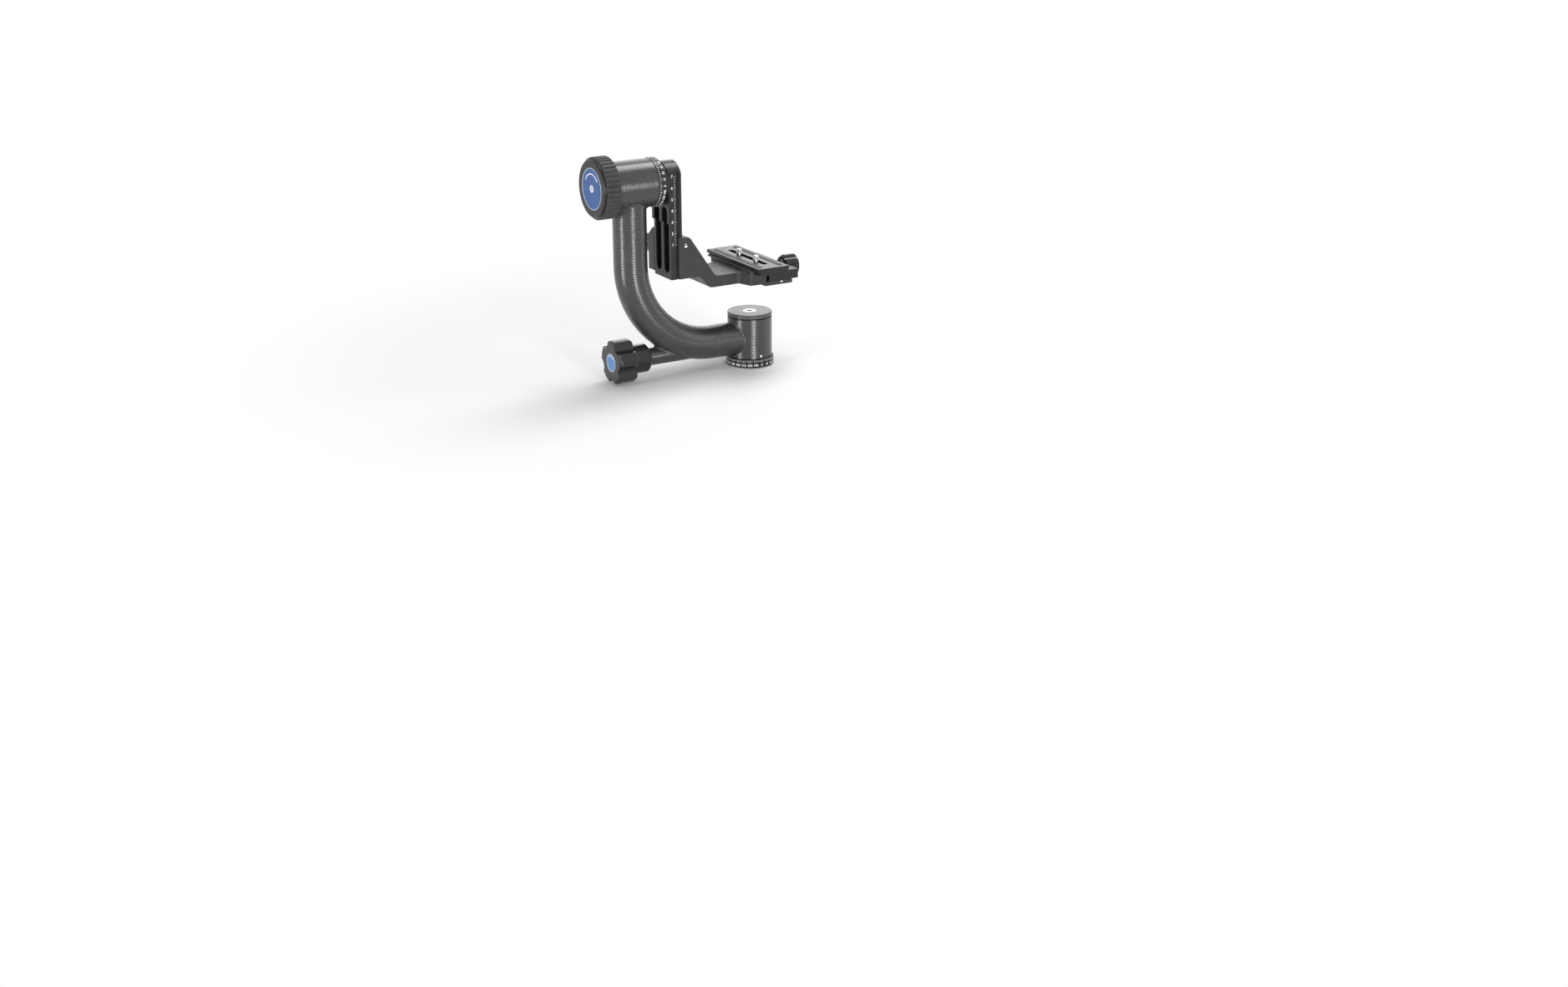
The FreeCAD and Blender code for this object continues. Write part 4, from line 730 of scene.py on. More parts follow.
@dataclass(frozen=True)
class EasedCopy:
    """A copy of a CAD node with its sharp edges broken by a small round.

    Args:
        node: name of the CAD node.
        look: finish of the copy.
        width: width of the broken edge.
        segments: steps across it.
        angle: edges sharper than this, in degrees, are broken.
        weld: points closer than this are one.
        flat: faces that meet within this angle, in degrees, are one.
        crease: edges sharper than this, in degrees, stay sharp in the shading.
        evenness: how strongly large faces rule the shading, 50 being neutral.
    """

    node: str
    look: Look
    width: float
    segments: int
    angle: float
    weld: float = 0.002 * MM
    flat: float = 0.4
    crease: float = 40.0
    evenness: int = 50

    def build(self) -> Object:
        """Makes the copy, which replaces its node and rides on its body.

        Returns:
            The finished piece.
        """
        source = frame["nodes"][self.node]
        mesh = source.data.copy()
        with edited(mesh) as work:
            bmesh.ops.remove_doubles(work, verts=work.verts, dist=self.weld)
            bmesh.ops.dissolve_limit(work, angle_limit=math.radians(self.flat), verts=work.verts,
                                     edges=work.edges, use_dissolve_boundaries=False)
        piece = as_object(self.node + "_eased", mesh)
        if mesh.has_custom_normals:
            bpy.context.view_layer.objects.active = piece
            bpy.ops.mesh.customdata_custom_splitnormals_clear()
        bevel = piece.modifiers.new("eased edges", "BEVEL")
        bevel.width = self.width
        bevel.segments = self.segments
        bevel.limit_method = "ANGLE"
        bevel.angle_limit = math.radians(self.angle)
        bevel.use_clamp_overlap = True
        bevel.miter_outer = "MITER_ARC"
        smoothed(baked(piece), self.crease)
        level = piece.modifiers.new("flat faces stay flat", "WEIGHTED_NORMAL")
        level.mode = "FACE_AREA"
        level.weight = self.evenness
        level.keep_sharp = True
        dress(baked(piece), self.look)
        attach(piece, source["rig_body"])
        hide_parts(self.node)
        return piece


@dataclass(frozen=True)
class Seat:
    """A plane that pieces are laid on: its middle, and the ways right and up as it is seen.

    Args:
        origin: middle of the plane.
        right: unit vector to the right.
        up: unit vector upwards.
    """

    origin: Vector
    right: Vector
    up: Vector

    @classmethod
    def front(cls, x: float, y: float, z: float) -> "Seat":
        """Seat at a place, facing the front."""
        return cls(Vector((x, y, z)), RIGHT, UP)

    @classmethod
    def top(cls, x: float, y: float, z: float) -> "Seat":
        """Seat at a place, facing up."""
        return cls(Vector((x, y, z)), RIGHT, BACK)

    @property
    def outward(self) -> Vector:
        """Unit vector out of the plane, towards the viewer."""
        return self.right.cross(self.up)

    def place(self, point: Sequence[float]) -> Vector:
        """Point at (right, up, outward) from the middle."""
        right, up, out = point
        return self.origin + self.right * right + self.up * up + self.outward * out

    def ring(self, radius: Callable[[float], float], height: float, steps: int) -> list[Vector]:
        """Points round the outward axis.

        Args:
            radius: rule from a turn of 0 to 1 to the radius there.
            height: height out of the plane.
            steps: number of points.

        Returns:
            The points.
        """
        points = []
        for k in range(steps):
            reach, angle = radius(k / steps), 2 * math.pi * k / steps
            points.append(self.place((reach * math.cos(angle), reach * math.sin(angle), height)))
        return points


def skin(name: str, rings: Sequence[Sequence[Vector]]) -> Mesh:
    """Closed mesh over rings of points, the last joined to the first.

    Args:
        name: name of the mesh.
        rings: equal numbers of points, in order.

    Returns:
        The mesh.
    """
    steps = len(rings[0])
    starts = [row * steps for row in range(len(rings))]
    faces = [(a + k, a + (k + 1) % steps, b + (k + 1) % steps, b + k)
             for a, b in zip(starts, starts[1:] + starts[:1]) for k in range(steps)]
    return from_faces(name, [point for ring in rings for point in ring], faces)


def turned(name: str, seat: Seat, profile: Outline, steps: int = 96) -> Mesh:
    """Closed solid of revolution about a seat's outward axis.

    Args:
        name: name of the mesh.
        seat: plane whose outward axis is the axis of the turning.
        profile: corners of (radius, height out of the plane), as a closed loop.
        steps: segments round the axis.

    Returns:
        The mesh.
    """
    return skin(name, [seat.ring(lambda _, r=radius: r, height, steps)
                       for radius, height in profile])


def plate_of(name: str, seat: Seat, outline: Outline, thickness: float) -> Mesh:
    """Thin plate of a flat outline, half sunk in its seat.

    Args:
        name: name of the mesh.
        seat: plane that it lies on.
        outline: corners of (right, up).
        thickness: whole thickness.

    Returns:
        The mesh.
    """
    count = len(outline)
    points = [seat.place((u, v, side * thickness / 2)) for side in (-1, 1) for u, v in outline]
    faces = [range(count), range(count, 2 * count)]
    faces += [(i, (i + 1) % count, (i + 1) % count + count, i + count) for i in range(count)]
    return from_faces(name, points, faces)


@dataclass(frozen=True)
class Thread:
    """A screw thread about a seat's outward axis.

    Args:
        major: radius of the crests.
        minor: radius of the roots.
        pitch: advance in one turn.
        low: height of its start.
        high: height of its end.
        wall: radius of the far wall for an inside thread, or 0 for a solid screw.
        steps: points round the axis.
        rows_per_turn: rings of points in one turn.
        flank: how steep the flanks are.
        flat: how wide the flat roots are.
        fade: turns over which an outside thread runs out.
        start: share of its depth that it keeps at its very ends.
    """

    major: float
    minor: float
    pitch: float
    low: float
    high: float
    wall: float = 0.0
    steps: int = 40
    rows_per_turn: int = 8
    flank: float = 1.5
    flat: float = 0.25
    fade: float = 0.6
    start: float = 0.2

    def radius(self, height: float, turn: float) -> float:
        """Radius at a height and a turn of 0 to 1.

        Args:
            height: height along the axis.
            turn: turn about it.

        Returns:
            The radius, which fades to the roots at both ends of an outside thread.
        """
        wave = abs(2 * ((height / self.pitch - turn) % 1.0) - 1)
        depth = min(1.0, max(0.0, self.flank * wave - self.flat))
        if not self.wall:
            ends = min(height - self.low, self.high - height) / (self.fade * self.pitch)
            depth = min(depth, 1.0, self.start + ends)
        return self.minor + (self.major - self.minor) * depth

    def mesh(self, name: str, seat: Seat) -> Mesh:
        """Closed mesh of the thread.

        Args:
            name: name of the mesh.
            seat: plane whose outward axis is the thread's.

        Returns:
            The mesh.
        """
        rows = int((self.high - self.low) / self.pitch * self.rows_per_turn)
        heights = [self.low + (self.high - self.low) * row / rows for row in range(rows + 1)]
        rings = [seat.ring(partial(self.radius, height), height, self.steps)
                 for height in heights]
        rings += [seat.ring(lambda _: self.wall, height, self.steps)
                  for height in (self.high, self.low)]
        return skin(name, rings)


# ---- printing
def grown(name: str, tree: NodeTree, values: dict[str, object]) -> Object:
    """Runs a Geometry Nodes tree once and keeps its mesh.

    Args:
        name: name of the piece.
        tree: the tree.
        values: name of each input to its value.

    Returns:
        An object with a plain mesh and no modifier.
    """
    piece = as_object(name, bpy.data.meshes.new(name))
    modifier = piece.modifiers.new(name, "NODES")
    modifier.node_group = tree
    for item in tree.interface.items_tree:
        if item.in_out == "INPUT":
            modifier[item.identifier] = values[item.name]
    return baked(piece)


@dataclass(frozen=True)
class TickRow:
    """A straight row of printed ticks, later bent round a ring or laid on a face.

    Args:
        count: number of ticks.
        pitch: distance between them.
        width: width of a tick.
        short: length of a plain tick.
        every: every how many ticks one is longer.
        long: length of that one.
        thickness: thickness of the print.
    """

    count: int
    pitch: float
    width: float
    short: float
    every: int
    long: float
    thickness: float = 0.06 * MM

    @staticmethod
    @cache
    def tree() -> NodeTree:
        """Geometry Nodes tree: one bar per point of a line, longer at every Nth point.

        Returns:
            The group's tree.
        """
        graph, enter = Graph.group(
            "tick row", {"Count": 10, "Pitch": MM, "Width": MM, "Short": MM, "Long Every": 3,
                         "Long": MM, "Thickness": MM, "Ink": None},
            {"Geometry": Mesh}, "GeometryNodeTree")
        step = graph.vector(enter["Pitch"], 0.0, 0.0)
        line = graph.out("GeometryNodeMeshLine", {"Count": enter["Count"], "Offset": step},
                         mode="OFFSET")
        past = graph.out("GeometryNodeInputIndex").op("MODULO", enter["Long Every"])
        length = enter["Short"].mix(enter["Long"], past.op("LESS_THAN", 0.5))
        size = graph.vector(enter["Width"], length, enter["Thickness"])
        bar = graph.out("GeometryNodeMeshCube", {"Size": (1.0, 1.0, 1.0)})
        seated = graph.out("GeometryNodeTransform", {"Geometry": bar,
                                                     "Translation": (0.0, 0.5, 0.0)})
        placed = graph.out("GeometryNodeInstanceOnPoints", {"Points": line, "Instance": seated,
                                                            "Scale": size})
        real = graph.out("GeometryNodeRealizeInstances", {"Geometry": placed})
        return graph.close(Geometry=graph.out("GeometryNodeSetMaterial", {
            "Geometry": real, "Material": enter["Ink"]}))

    def build(self, name: str) -> Object:
        """Makes the row along +X from the origin, its ticks standing along +Y.

        Args:
            name: name of the piece.

        Returns:
            The row.
        """
        return grown(name, self.tree(), {
            "Count": self.count, "Pitch": self.pitch, "Width": self.width, "Short": self.short,
            "Long Every": self.every, "Long": self.long, "Thickness": self.thickness,
            "Ink": Look.INK.material})


@dataclass(frozen=True)
class Lettering:
    """Plain numbers as thin raised print.

    Args:
        height: height of a digit.
        boldness: extra width of each stroke.
        thickness: thickness of the print.
        digit_share: height of a digit as a share of the font's size.
        smoothness: steps in each curve of a digit.
    """

    height: float
    boldness: float
    thickness: float = 0.06 * MM
    digit_share: float = 0.72
    smoothness: int = 3

    def word(self, text: str, x: float, y: float) -> Mesh:
        """Mesh of one word in the XY plane, centred on its place.

        Args:
            text: the word.
            x: place along X.
            y: place along Y.

        Returns:
            The mesh.
        """
        curve = bpy.data.curves.new(text, "FONT")
        curve.body = text
        curve.size = self.height / self.digit_share
        curve.align_x = curve.align_y = "CENTER"
        curve.extrude = self.thickness / 2
        curve.offset = self.boldness
        curve.resolution_u = self.smoothness
        holder = as_object(text, curve)
        mesh = evaluated(holder)
        mesh.transform(Matrix.Translation((x, y, 0)))
        bpy.data.objects.remove(holder)
        return mesh

    def build(self, name: str, words: Sequence[tuple[str, float, float]]) -> Object:
        """Sets words in the XY plane.

        Args:
            name: name of the piece.
            words: text, x and y of each word.

        Returns:
            One object with the words' meshes.
        """
        mesh = bpy.data.meshes.new(name)
        with edited(mesh) as work:
            for word in words:
                work.from_mesh(self.word(*word))
            bmesh.ops.remove_doubles(work, verts=work.verts, dist=SAME_POINT)
        mesh.materials.append(Look.INK.material)
        return as_object(name, mesh)


def split_long(piece: Object, longest: float, rounds: int = 3) -> None:
    """Cuts a print's long edges, so that it can follow a curve.

    Args:
        piece: mesh object.
        longest: edges longer than this are cut in half.
        rounds: how many times that is done.
    """
    with edited(piece.data) as work:
        bmesh.ops.triangulate(work, faces=work.faces)
        for _ in range(rounds):
            edges = [e for e in work.edges if e.calc_length() > longest]
            if not edges:
                break
            bmesh.ops.subdivide_edges(work, edges=edges, cuts=1)
            bmesh.ops.triangulate(work, faces=work.faces)


def moved(piece: Object, place: Callable[[Vector], Vector]) -> Object:
    """Moves each point of a piece by a rule.

    Args:
        piece: mesh object at the origin.
        place: rule from a point to its new place.

    Returns:
        The same piece.
    """
    for vertex in piece.data.vertices:
        vertex.co = place(vertex.co.copy())
    with edited(piece.data) as work:
        bmesh.ops.recalc_face_normals(work, faces=work.faces)
    return piece


def printed(piece: Object, body: str) -> Object:
    """Finishes a print: ink and its body.

    Args:
        piece: the print.
        body: body that carries it.

    Returns:
        The same piece.
    """
    dress(piece, Look.INK)
    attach(piece, body)
    return piece


@dataclass(frozen=True)
class RingScale:
    """Ticks and numbers printed round a degree ring.

    Args:
        node: CAD node of the ring.
        body: body that carries it.
        front: unit vector out of the ring where the scale reads 0.
        upward: unit vector along the ring's axis, towards its ticked edge.
        count: number of ticks.
        every: every how many ticks one is longer and has a number.
        width: width of a tick.
        short: length of a plain tick.
        long: length of a longer one.
        margin: distance of the ticks from the ring's edge.
        digit: height of a digit.
        drop: distance of the numbers below the ticks' upper ends.
        boldness: extra width of each stroke.
        lift: height of the print's middle above the ring.
        facet: longest straight edge of the bent numbers.
    """

    node: str
    body: str
    front: Vector
    upward: Vector
    count: int = 72
    every: int = 3
    width: float = 0.38 * MM
    short: float = 1.5 * MM
    long: float = 2.5 * MM
    margin: float = 0.8 * MM
    digit: float = 2.5 * MM
    drop: float = 5.5 * MM
    boldness: float = 0.04 * MM
    lift: float = 0.03 * MM
    facet: float = 0.8 * MM

    @property
    def radius(self) -> float:
        """Outside radius of the ring."""
        return Spread.of(self.node).size.y / 2

    def wrap(self, point: Vector) -> Vector:
        """Bends a flat print round the ring.

        Args:
            point: x runs round the ring and y along its axis.

        Returns:
            The point's place on the ring.
        """
        spread = Spread.of(self.node)
        axis = spread.centre - self.upward * spread.centre.dot(self.upward)
        top = max(spread.low.dot(self.upward), spread.high.dot(self.upward))
        turn = point.x / self.radius
        right = self.upward.cross(self.front)
        outward = self.front * math.cos(turn) + right * math.sin(turn)
        return (axis + outward * (self.radius + self.lift + point.z)
                + self.upward * (top - self.margin + point.y))

    def build(self) -> list[Object]:
        """Prints the ticks and a number under each long one.

        Returns:
            The ticks and the numbers.
        """
        around = 2 * math.pi * self.radius
        row = TickRow(self.count, around / self.count, self.width, self.short, self.every,
                      self.long)
        ticks = row.build(self.node + "_ticks")
        moved(ticks, lambda p: self.wrap(Vector((p.x, -p.y, p.z))))
        step = 360 * self.every // self.count
        words = [(str(angle), around * angle / 360, -self.drop) for angle in range(0, 360, step)]
        numbers = Lettering(self.digit, self.boldness).build(self.node + "_numbers", words)
        split_long(numbers, self.facet)
        moved(numbers, self.wrap)
        return [printed(ticks, self.body), printed(numbers, self.body)]


@dataclass(frozen=True)
class Arrow:
    """An arc that ends in an arrow head.

    Args:
        radius: radius of the arc's middle.
        width: width of the line; the head is three times as wide.
        start: angle of its tail in degrees.
        end: angle of its tip.
        thickness: thickness of the print.
        steps: steps along the arc.
        head: length of the head, in widths of the line.
    """

    radius: float
    width: float
    start: float
    end: float
    thickness: float
    steps: int = 20
    head: float = 2.2

    def at(self, angle: float, widths: float) -> tuple[float, float]:
        """Point at an angle, so many widths of the line outside the arc's middle."""
        reach = self.radius + widths * self.width
        return (reach * math.cos(angle), reach * math.sin(angle))

    def outline(self) -> Outline:
        """The outline's corners.

        Returns:
            Corners of (right, up).
        """
        head = math.copysign(math.degrees(self.head * self.width / self.radius),
                             self.end - self.start)
        sweep = self.end - head - self.start
        angles = [math.radians(self.start + sweep * k / self.steps)
                  for k in range(self.steps + 1)]
        neck = angles[-1]
        point = [self.at(neck, 1.5), self.at(math.radians(self.end), 0.0), self.at(neck, -1.5)]
        return ([self.at(a, 0.5) for a in angles] + point
                + [self.at(a, -0.5) for a in reversed(angles)])


# ---- sub-assemblies
@dataclass
class SubAssembly:
    """A part of the head that is dressed together.

    Args:
        pieces: finished pieces, filled in by build.
        print_thickness: thickness of the marks that lie on its faces.
    """

    pieces: list[Object] = field(default_factory=list)
    print_thickness: float = 0.12 * MM

    def ease(self, node: str, look: Look, width: float, segments: int = 2,
             angle: float = 32.0) -> None:
        """Adds an eased copy of a CAD node."""
        self.pieces.append(EasedCopy(node, look, width, segments, angle).build())

    def add(self, mesh: Mesh, look: Look, body: str, sharp: float = 34.0) -> None:
        """Adds a mesh as a smooth piece.

        Args:
            mesh: the mesh, which names the piece.
            look: its finish.
            body: body that carries it.
            sharp: edges sharper than this, in degrees, stay sharp.
        """
        piece = dress(smoothed(as_object(mesh.name, mesh), sharp), look)
        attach(piece, body)
        self.pieces.append(piece)

    def build(self) -> None:
        """Makes the pieces."""
        raise NotImplementedError


@dataclass
class PanBase(SubAssembly):
    """Foot, pan degree ring, cap and their marks."""

    index_width: float = 3.2 * MM
    index_height: float = 3.0 * MM
    index_lift: float = 1.0 * MM
    index_facet: float = 0.6 * MM
    index_rows: int = 8
    tripod_pitch: float = 25.4 / 16 * MM
    tripod_minor: float = 4.0 * MM
    tripod_major: float = 4.7 * MM

    def build(self) -> None:
        """Eases the turned pieces, prints the scale and cuts the tripod thread."""
        self.ease("pan_degree_ring", Look.BLACK, 0.35 * MM)
        self.ease("pan_cap", Look.CAP, 0.3 * MM)
        self.ease("base_spindle", Look.BLACK, 0.3 * MM)
        self.ease("pan_cap_screw", Look.STEEL, 0.25 * MM)
        self.ease("ring_screws", Look.BLACK_STEEL, 0.15 * MM)
        self.pieces += RingScale("pan_degree_ring", "base", FRONT, UP).build()
        self.pieces.append(self.index())
        self.thread()

    def thread(self) -> None:
        """Threaded bush in the foot."""
        bush = Spread.of("tripod_thread_bush")
        cut = Thread(self.tripod_major, self.tripod_minor, self.tripod_pitch, bush.low.z,
                     bush.high.z, wall=bush.size.x / 2)
        self.add(cut.mesh("tripod_thread", Seat.top(0, 0, 0)), Look.STEEL, "base", 50.0)
        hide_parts("tripod_thread_bush")

    def index(self) -> Object:
        """White triangle on the housing's lower edge, pointing down to the scale.

        Returns:
            The triangle.
        """
        radius = ArmLine().pan_radius
        low = Spread.of("pan_degree_ring").high.z + self.index_lift
        half = self.index_width / 2
        share = [k / self.index_rows for k in range(self.index_rows + 1)]
        edge = [(half * s, self.index_height * s) for s in share]
        top = [(half * (1 - 2 * s), self.index_height) for s in share[1:]]
        back = [(-u, v) for u, v in reversed(edge[1:-1])]
        mesh = plate_of("pan_index", Seat.front(0, 0, low), edge + top + back,
                        self.print_thickness)
        piece = as_object("pan_index", mesh)
        split_long(piece, self.index_facet)

        def wrap(point: Vector) -> Vector:
            """Bends the flat triangle round the housing."""
            reach, turn = radius - point.y, point.x / radius
            return Vector((reach * math.sin(turn), -reach * math.cos(turn), point.z))

        return printed(moved(piece, wrap), "arm")


@dataclass
class LockKnob(SubAssembly):
    """A lock knob with a dished blue disc, a turned rim lightened as a painted glint, and an arrow.

    Args:
        knob: name of the knob's body, which starts the names of its pieces.
        face: finish of the disc's face.
        rim: width of the turned rim, whose light colour is a painted glint.
        sink: depth of the face below the rim.
        arrow: the printed arrow.
        corner: width of the broken corner outside the rim.
        inner_slope: how far the rim's inside slopes in, as a share of its depth.
    """

    knob: str = ""
    face: Look = Look.BLUE
    rim: float = 0.0
    sink: float = 0.0
    arrow: Arrow | None = None
    corner: float = 0.15 * MM
    inner_slope: float = 0.8

    def seat(self, sink: float) -> Seat:
        """Seat at a depth below the disc's face, seen from -X."""
        disc = Spread.of(self.knob + "_disc")
        return Seat(Vector((disc.low.x + sink, disc.centre.y, disc.centre.z)), FRONT, UP)

    def dish(self) -> None:
        """Replaces the disc by a dished one in a rim, and prints its arrow."""
        node = self.knob + "_disc"
        disc, seat = Spread.of(node), self.seat(0.0)
        radius, back = disc.size.y / 2, -disc.size.x
        crest = radius - self.rim
        inner = crest - self.sink * self.inner_slope
        ring = [(radius, back), (radius, -self.corner), (radius - self.corner, 0), (crest, 0),
                (inner, -self.sink), (inner, back)]
        # The rim's light finish is a painted highlight for the glint on its turned edge.
        self.add(turned(node + "_rim", seat, ring), Look.EDGE, self.knob)
        face = [(0, back), (inner, back), (inner, -self.sink), (0, -self.sink)]
        self.add(turned(node + "_face", seat, face), self.face, self.knob)
        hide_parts(node)
        self.add(plate_of(self.knob + "_arrow", self.seat(self.sink), self.arrow.outline(),
                          self.arrow.thickness), Look.INK, self.knob)


@dataclass
class PanLock(LockKnob):
    """Lobed lock knob."""

    knob: str = "pan_knob"
    face: Look = Look.BLUE_LIGHT
    rim: float = 0.9 * MM
    sink: float = 0.25 * MM
    arrow: Arrow = Arrow(7.4 * MM, 0.7 * MM, 140, 40, 0.08 * MM)

    def build(self) -> None:
        """Rounds the lobes and fits the disc."""
        self.ease("pan_knob_grip", Look.PLASTIC, 1.0 * MM, 3, 24.0)
        self.ease("pan_knob_stud", Look.STEEL, 0.3 * MM)
        self.dish()


@dataclass
class TiltLock(LockKnob):
    """Ribbed lock knob, with a ringed boss in the middle of its disc.

    Args:
        dome: corners of the boss, as shares of its radius and height.
    """

    knob: str = "tilt_knob"
    rim: float = 0.7 * MM
    sink: float = 0.3 * MM
    arrow: Arrow = Arrow(15.5 * MM, 1.1 * MM, 150, 35, 0.1 * MM, 32)
    boss_radius: float = 3.9 * MM
    boss_ring: float = 1.0 * MM
    boss_root: float = 0.2 * MM
    boss_drop: float = 0.05 * MM
    boss_corner: float = 0.1 * MM
    dome: Outline = ((1.0, 0.0), (0.8, 0.6), (0.45, 0.9), (0.0, 1.0))

    def build(self) -> None:
        """Eases body and grip and fits the disc with its centre boss."""
        self.ease("tilt_knob_body", Look.RIM, 0.5 * MM, 3)
        self.ease("tilt_knob_grip", Look.RUBBER, 0.45 * MM, 2, 28.0)
        self.dish()
        seat, corner = self.seat(self.sink), self.boss_corner
        low, top = -self.boss_root, self.sink - self.boss_drop
        outer, inner = self.boss_radius, self.boss_radius - self.boss_ring
        ring = [(outer, low), (outer, top - corner), (outer - corner, top),
                (inner + corner, top), (inner, top - corner), (inner, low)]
        self.add(turned("tilt_knob_boss_ring", seat, ring), Look.INK, self.knob)
        dome = [(0, low), (inner, low)] + [(inner * r, top * h) for r, h in self.dome]
        self.add(turned("tilt_knob_boss", seat, dome), Look.STEEL, self.knob, 60.0)


@dataclass
class Swing(SubAssembly):
    """Tilt degree ring and the rail with its height scale."""

    marks: int = 7
    mark_pitch: float = 12.0 * MM
    mark_top: float = 219.5 * MM
    digit: float = 3.0 * MM
    digit_x: float = 2.1 * MM
    boldness: float = 0.06 * MM
    tick_x: float = 4.5 * MM
    tick_long: float = 1.9 * MM
    tick_short: float = 1.1 * MM
    tick_width: float = 0.3 * MM
    ticks_per_mark: int = 6
    hub_x: float = 2.0 * MM
    lift: float = 0.02 * MM

    def build(self) -> None:
        """Eases ring, rail and screws, and prints both scales."""
        self.ease("tilt_degree_ring", Look.BLACK, 0.35 * MM)
        self.ease("swing_rail", Look.BLACK, 0.35 * MM)
        self.ease("rail_bolts", Look.BLACK_STEEL, 0.2 * MM)
        self.ease("rail_stop_screws", Look.BLACK_STEEL, 0.15 * MM)
        self.pieces += RingScale("tilt_degree_ring", "swing", FRONT, LEFT).build()
        self.height_scale()

    def height_scale(self) -> None:
        """Numbers down the side of the rail's slab with fine ticks beside them."""
        rail = Spread.of("swing_rail")
        seat = Seat.front(rail.low.x + self.hub_x, rail.low.y - self.lift, 0)
        heights = [self.mark_top - k * self.mark_pitch for k in range(self.marks)]
        words = [(str(self.marks - k), self.digit_x, z) for k, z in enumerate(heights)]
        numbers = Lettering(self.digit, self.boldness).build("rail_numbers", words)
        self.pieces.append(printed(moved(numbers, seat.place), "swing"))
        row = TickRow((self.marks - 1) * self.ticks_per_mark + 1,
                      self.mark_pitch / self.ticks_per_mark, self.tick_width, self.tick_short,
                      self.ticks_per_mark, self.tick_long)

        def lay(point: Vector) -> Vector:
            """Turns the row upright, its ticks towards the strip."""
            return seat.place((self.tick_x + point.y, heights[-1] + point.x, point.z))

        self.pieces.append(printed(moved(row.build("rail_ticks"), lay), "swing"))


@dataclass
class Cradle(SubAssembly):
    """Bracket with its pointer, and the height lock."""

    front_y: float = -22.0 * MM
    pointer_z: float = 145.0 * MM
    pointer_x: float = 2.7 * MM
    pointer_half_width: float = 2.3 * MM
    pointer_half_height: float = 1.3 * MM
    line_length: float = 2.4 * MM
    line_width: float = 0.6 * MM
    line_rise: float = 2.6 * MM

    def build(self) -> None:
        """Eases the bracket, jaw and knob and prints the pointer."""
        self.ease("cradle_bracket", Look.GREY, 0.4 * MM)
        self.ease("height_jaw", Look.BLACK, 0.35 * MM)
        self.ease("height_knob_grip", Look.PLASTIC, 0.7 * MM, 2, 24.0)
        seat = Seat.front(Spread.of("swing_rail").high.x + self.pointer_x, self.front_y,
                          self.pointer_z)
        wide, high = self.pointer_half_width, self.pointer_half_height
        long, thick, rise = self.line_length / 2, self.line_width / 2, self.line_rise
        marks = {"pointer": [(-wide, 0), (0, -high), (wide, 0), (0, high)],
                 "pointer_line": [(-long - thick, rise - thick), (long - thick, rise - thick),
                                  (long - thick, rise + thick), (-long - thick, rise + thick)]}
        for name, outline in marks.items():
            self.add(plate_of(name, seat, outline, self.print_thickness), Look.INK, "cradle")


@dataclass
class LensClamp(SubAssembly):
    """Moving clamp jaw, its knob and the centre mark on the bed's tongue."""

    mark_x: float = 17.4 * MM
    mark_radius: float = 1.5 * MM
    mark_top: float = 97.9 * MM
    mark_steps: int = 12

    def build(self) -> None:
        """Eases jaw and knob and prints the half-round mark."""
        self.ease("clamp_jaw", Look.BLACK, 0.35 * MM)
        self.ease("clamp_knob_grip", Look.PLASTIC, 0.7 * MM, 2, 24.0)
        seat = Seat.front(self.mark_x, Spread.of("clamp_jaw").low.y, self.mark_top)
        turns = [math.pi * k / self.mark_steps for k in range(self.mark_steps + 1)]
        outline = [(self.mark_radius * math.cos(a), -self.mark_radius * math.sin(a)) for a in turns]
        self.add(plate_of("centre_mark", seat, outline, self.print_thickness), Look.INK,
                 "cradle")


@dataclass
class LensPlate(SubAssembly):
    """Dovetail plate with pads and threaded lens screws."""

    head_radius: float = 5.4 * MM
    crest_radius: float = 3.17 * MM
    root_radius: float = 2.56 * MM
    pitch: float = 25.4 / 20 * MM
    neck: float = 0.5 * MM
    point: float = 0.3 * MM

    def build(self) -> None:
        """Eases the plate and pads and threads the lens screws."""
        self.ease("lens_plate", Look.BLACK, 0.3 * MM)
        self.ease("plate_pads", Look.RUBBER, 0.2 * MM)
        self.ease("lens_screws", Look.STEEL, 0.2 * MM)
        screws, shoulder = Spread.of("lens_screws"), Spread.of("lens_plate").high.z
        x, foot = screws.centre.x, shoulder + self.neck
        cut = Thread(self.crest_radius, self.root_radius, self.pitch, 0.0,
                     screws.high.z - foot - self.point)
        middles = (screws.low.y + self.head_radius, screws.high.y - self.head_radius)
        for vertex in self.pieces[-1].data.vertices:
            middle = min(middles, key=lambda y: abs(vertex.co.y - y))
            offset = Vector((vertex.co.x - x, vertex.co.y - middle))
            if vertex.co.z > shoulder and offset.length > self.root_radius:
                offset.length = self.root_radius
                vertex.co.x, vertex.co.y = x + offset.x, middle + offset.y
        for number, y in enumerate(middles):
            self.add(cut.mesh(f"lens_thread_{number}", Seat.top(x, y, foot)), Look.STEEL,
                     "lens_plate", 50.0)


# ---- stage
@dataclass(frozen=True)
class Lamp:
    """A soft rectangular lamp that looks at the head.

    Args:
        name: name of the lamp.
        place: its place.
        size: width and height.
        power: power in watts.
        aim: the point that it looks at.
    """

    name: str
    place: Point
    size: tuple[float, float]
    power: float
    aim: Point = (-0.10, 0.0, 0.13)

    def build(self) -> None:
        """Hangs the lamp."""
        data = bpy.data.lights.new(self.name, "AREA")
        data.shape = "RECTANGLE"
        data.size, data.size_y = self.size
        data.energy = self.power
        holder = as_object(self.name, data)
        holder.location = self.place
        turn = (Vector(self.aim) - Vector(self.place)).to_track_quat("-Z", "Y")
        holder.rotation_euler = turn.to_euler()


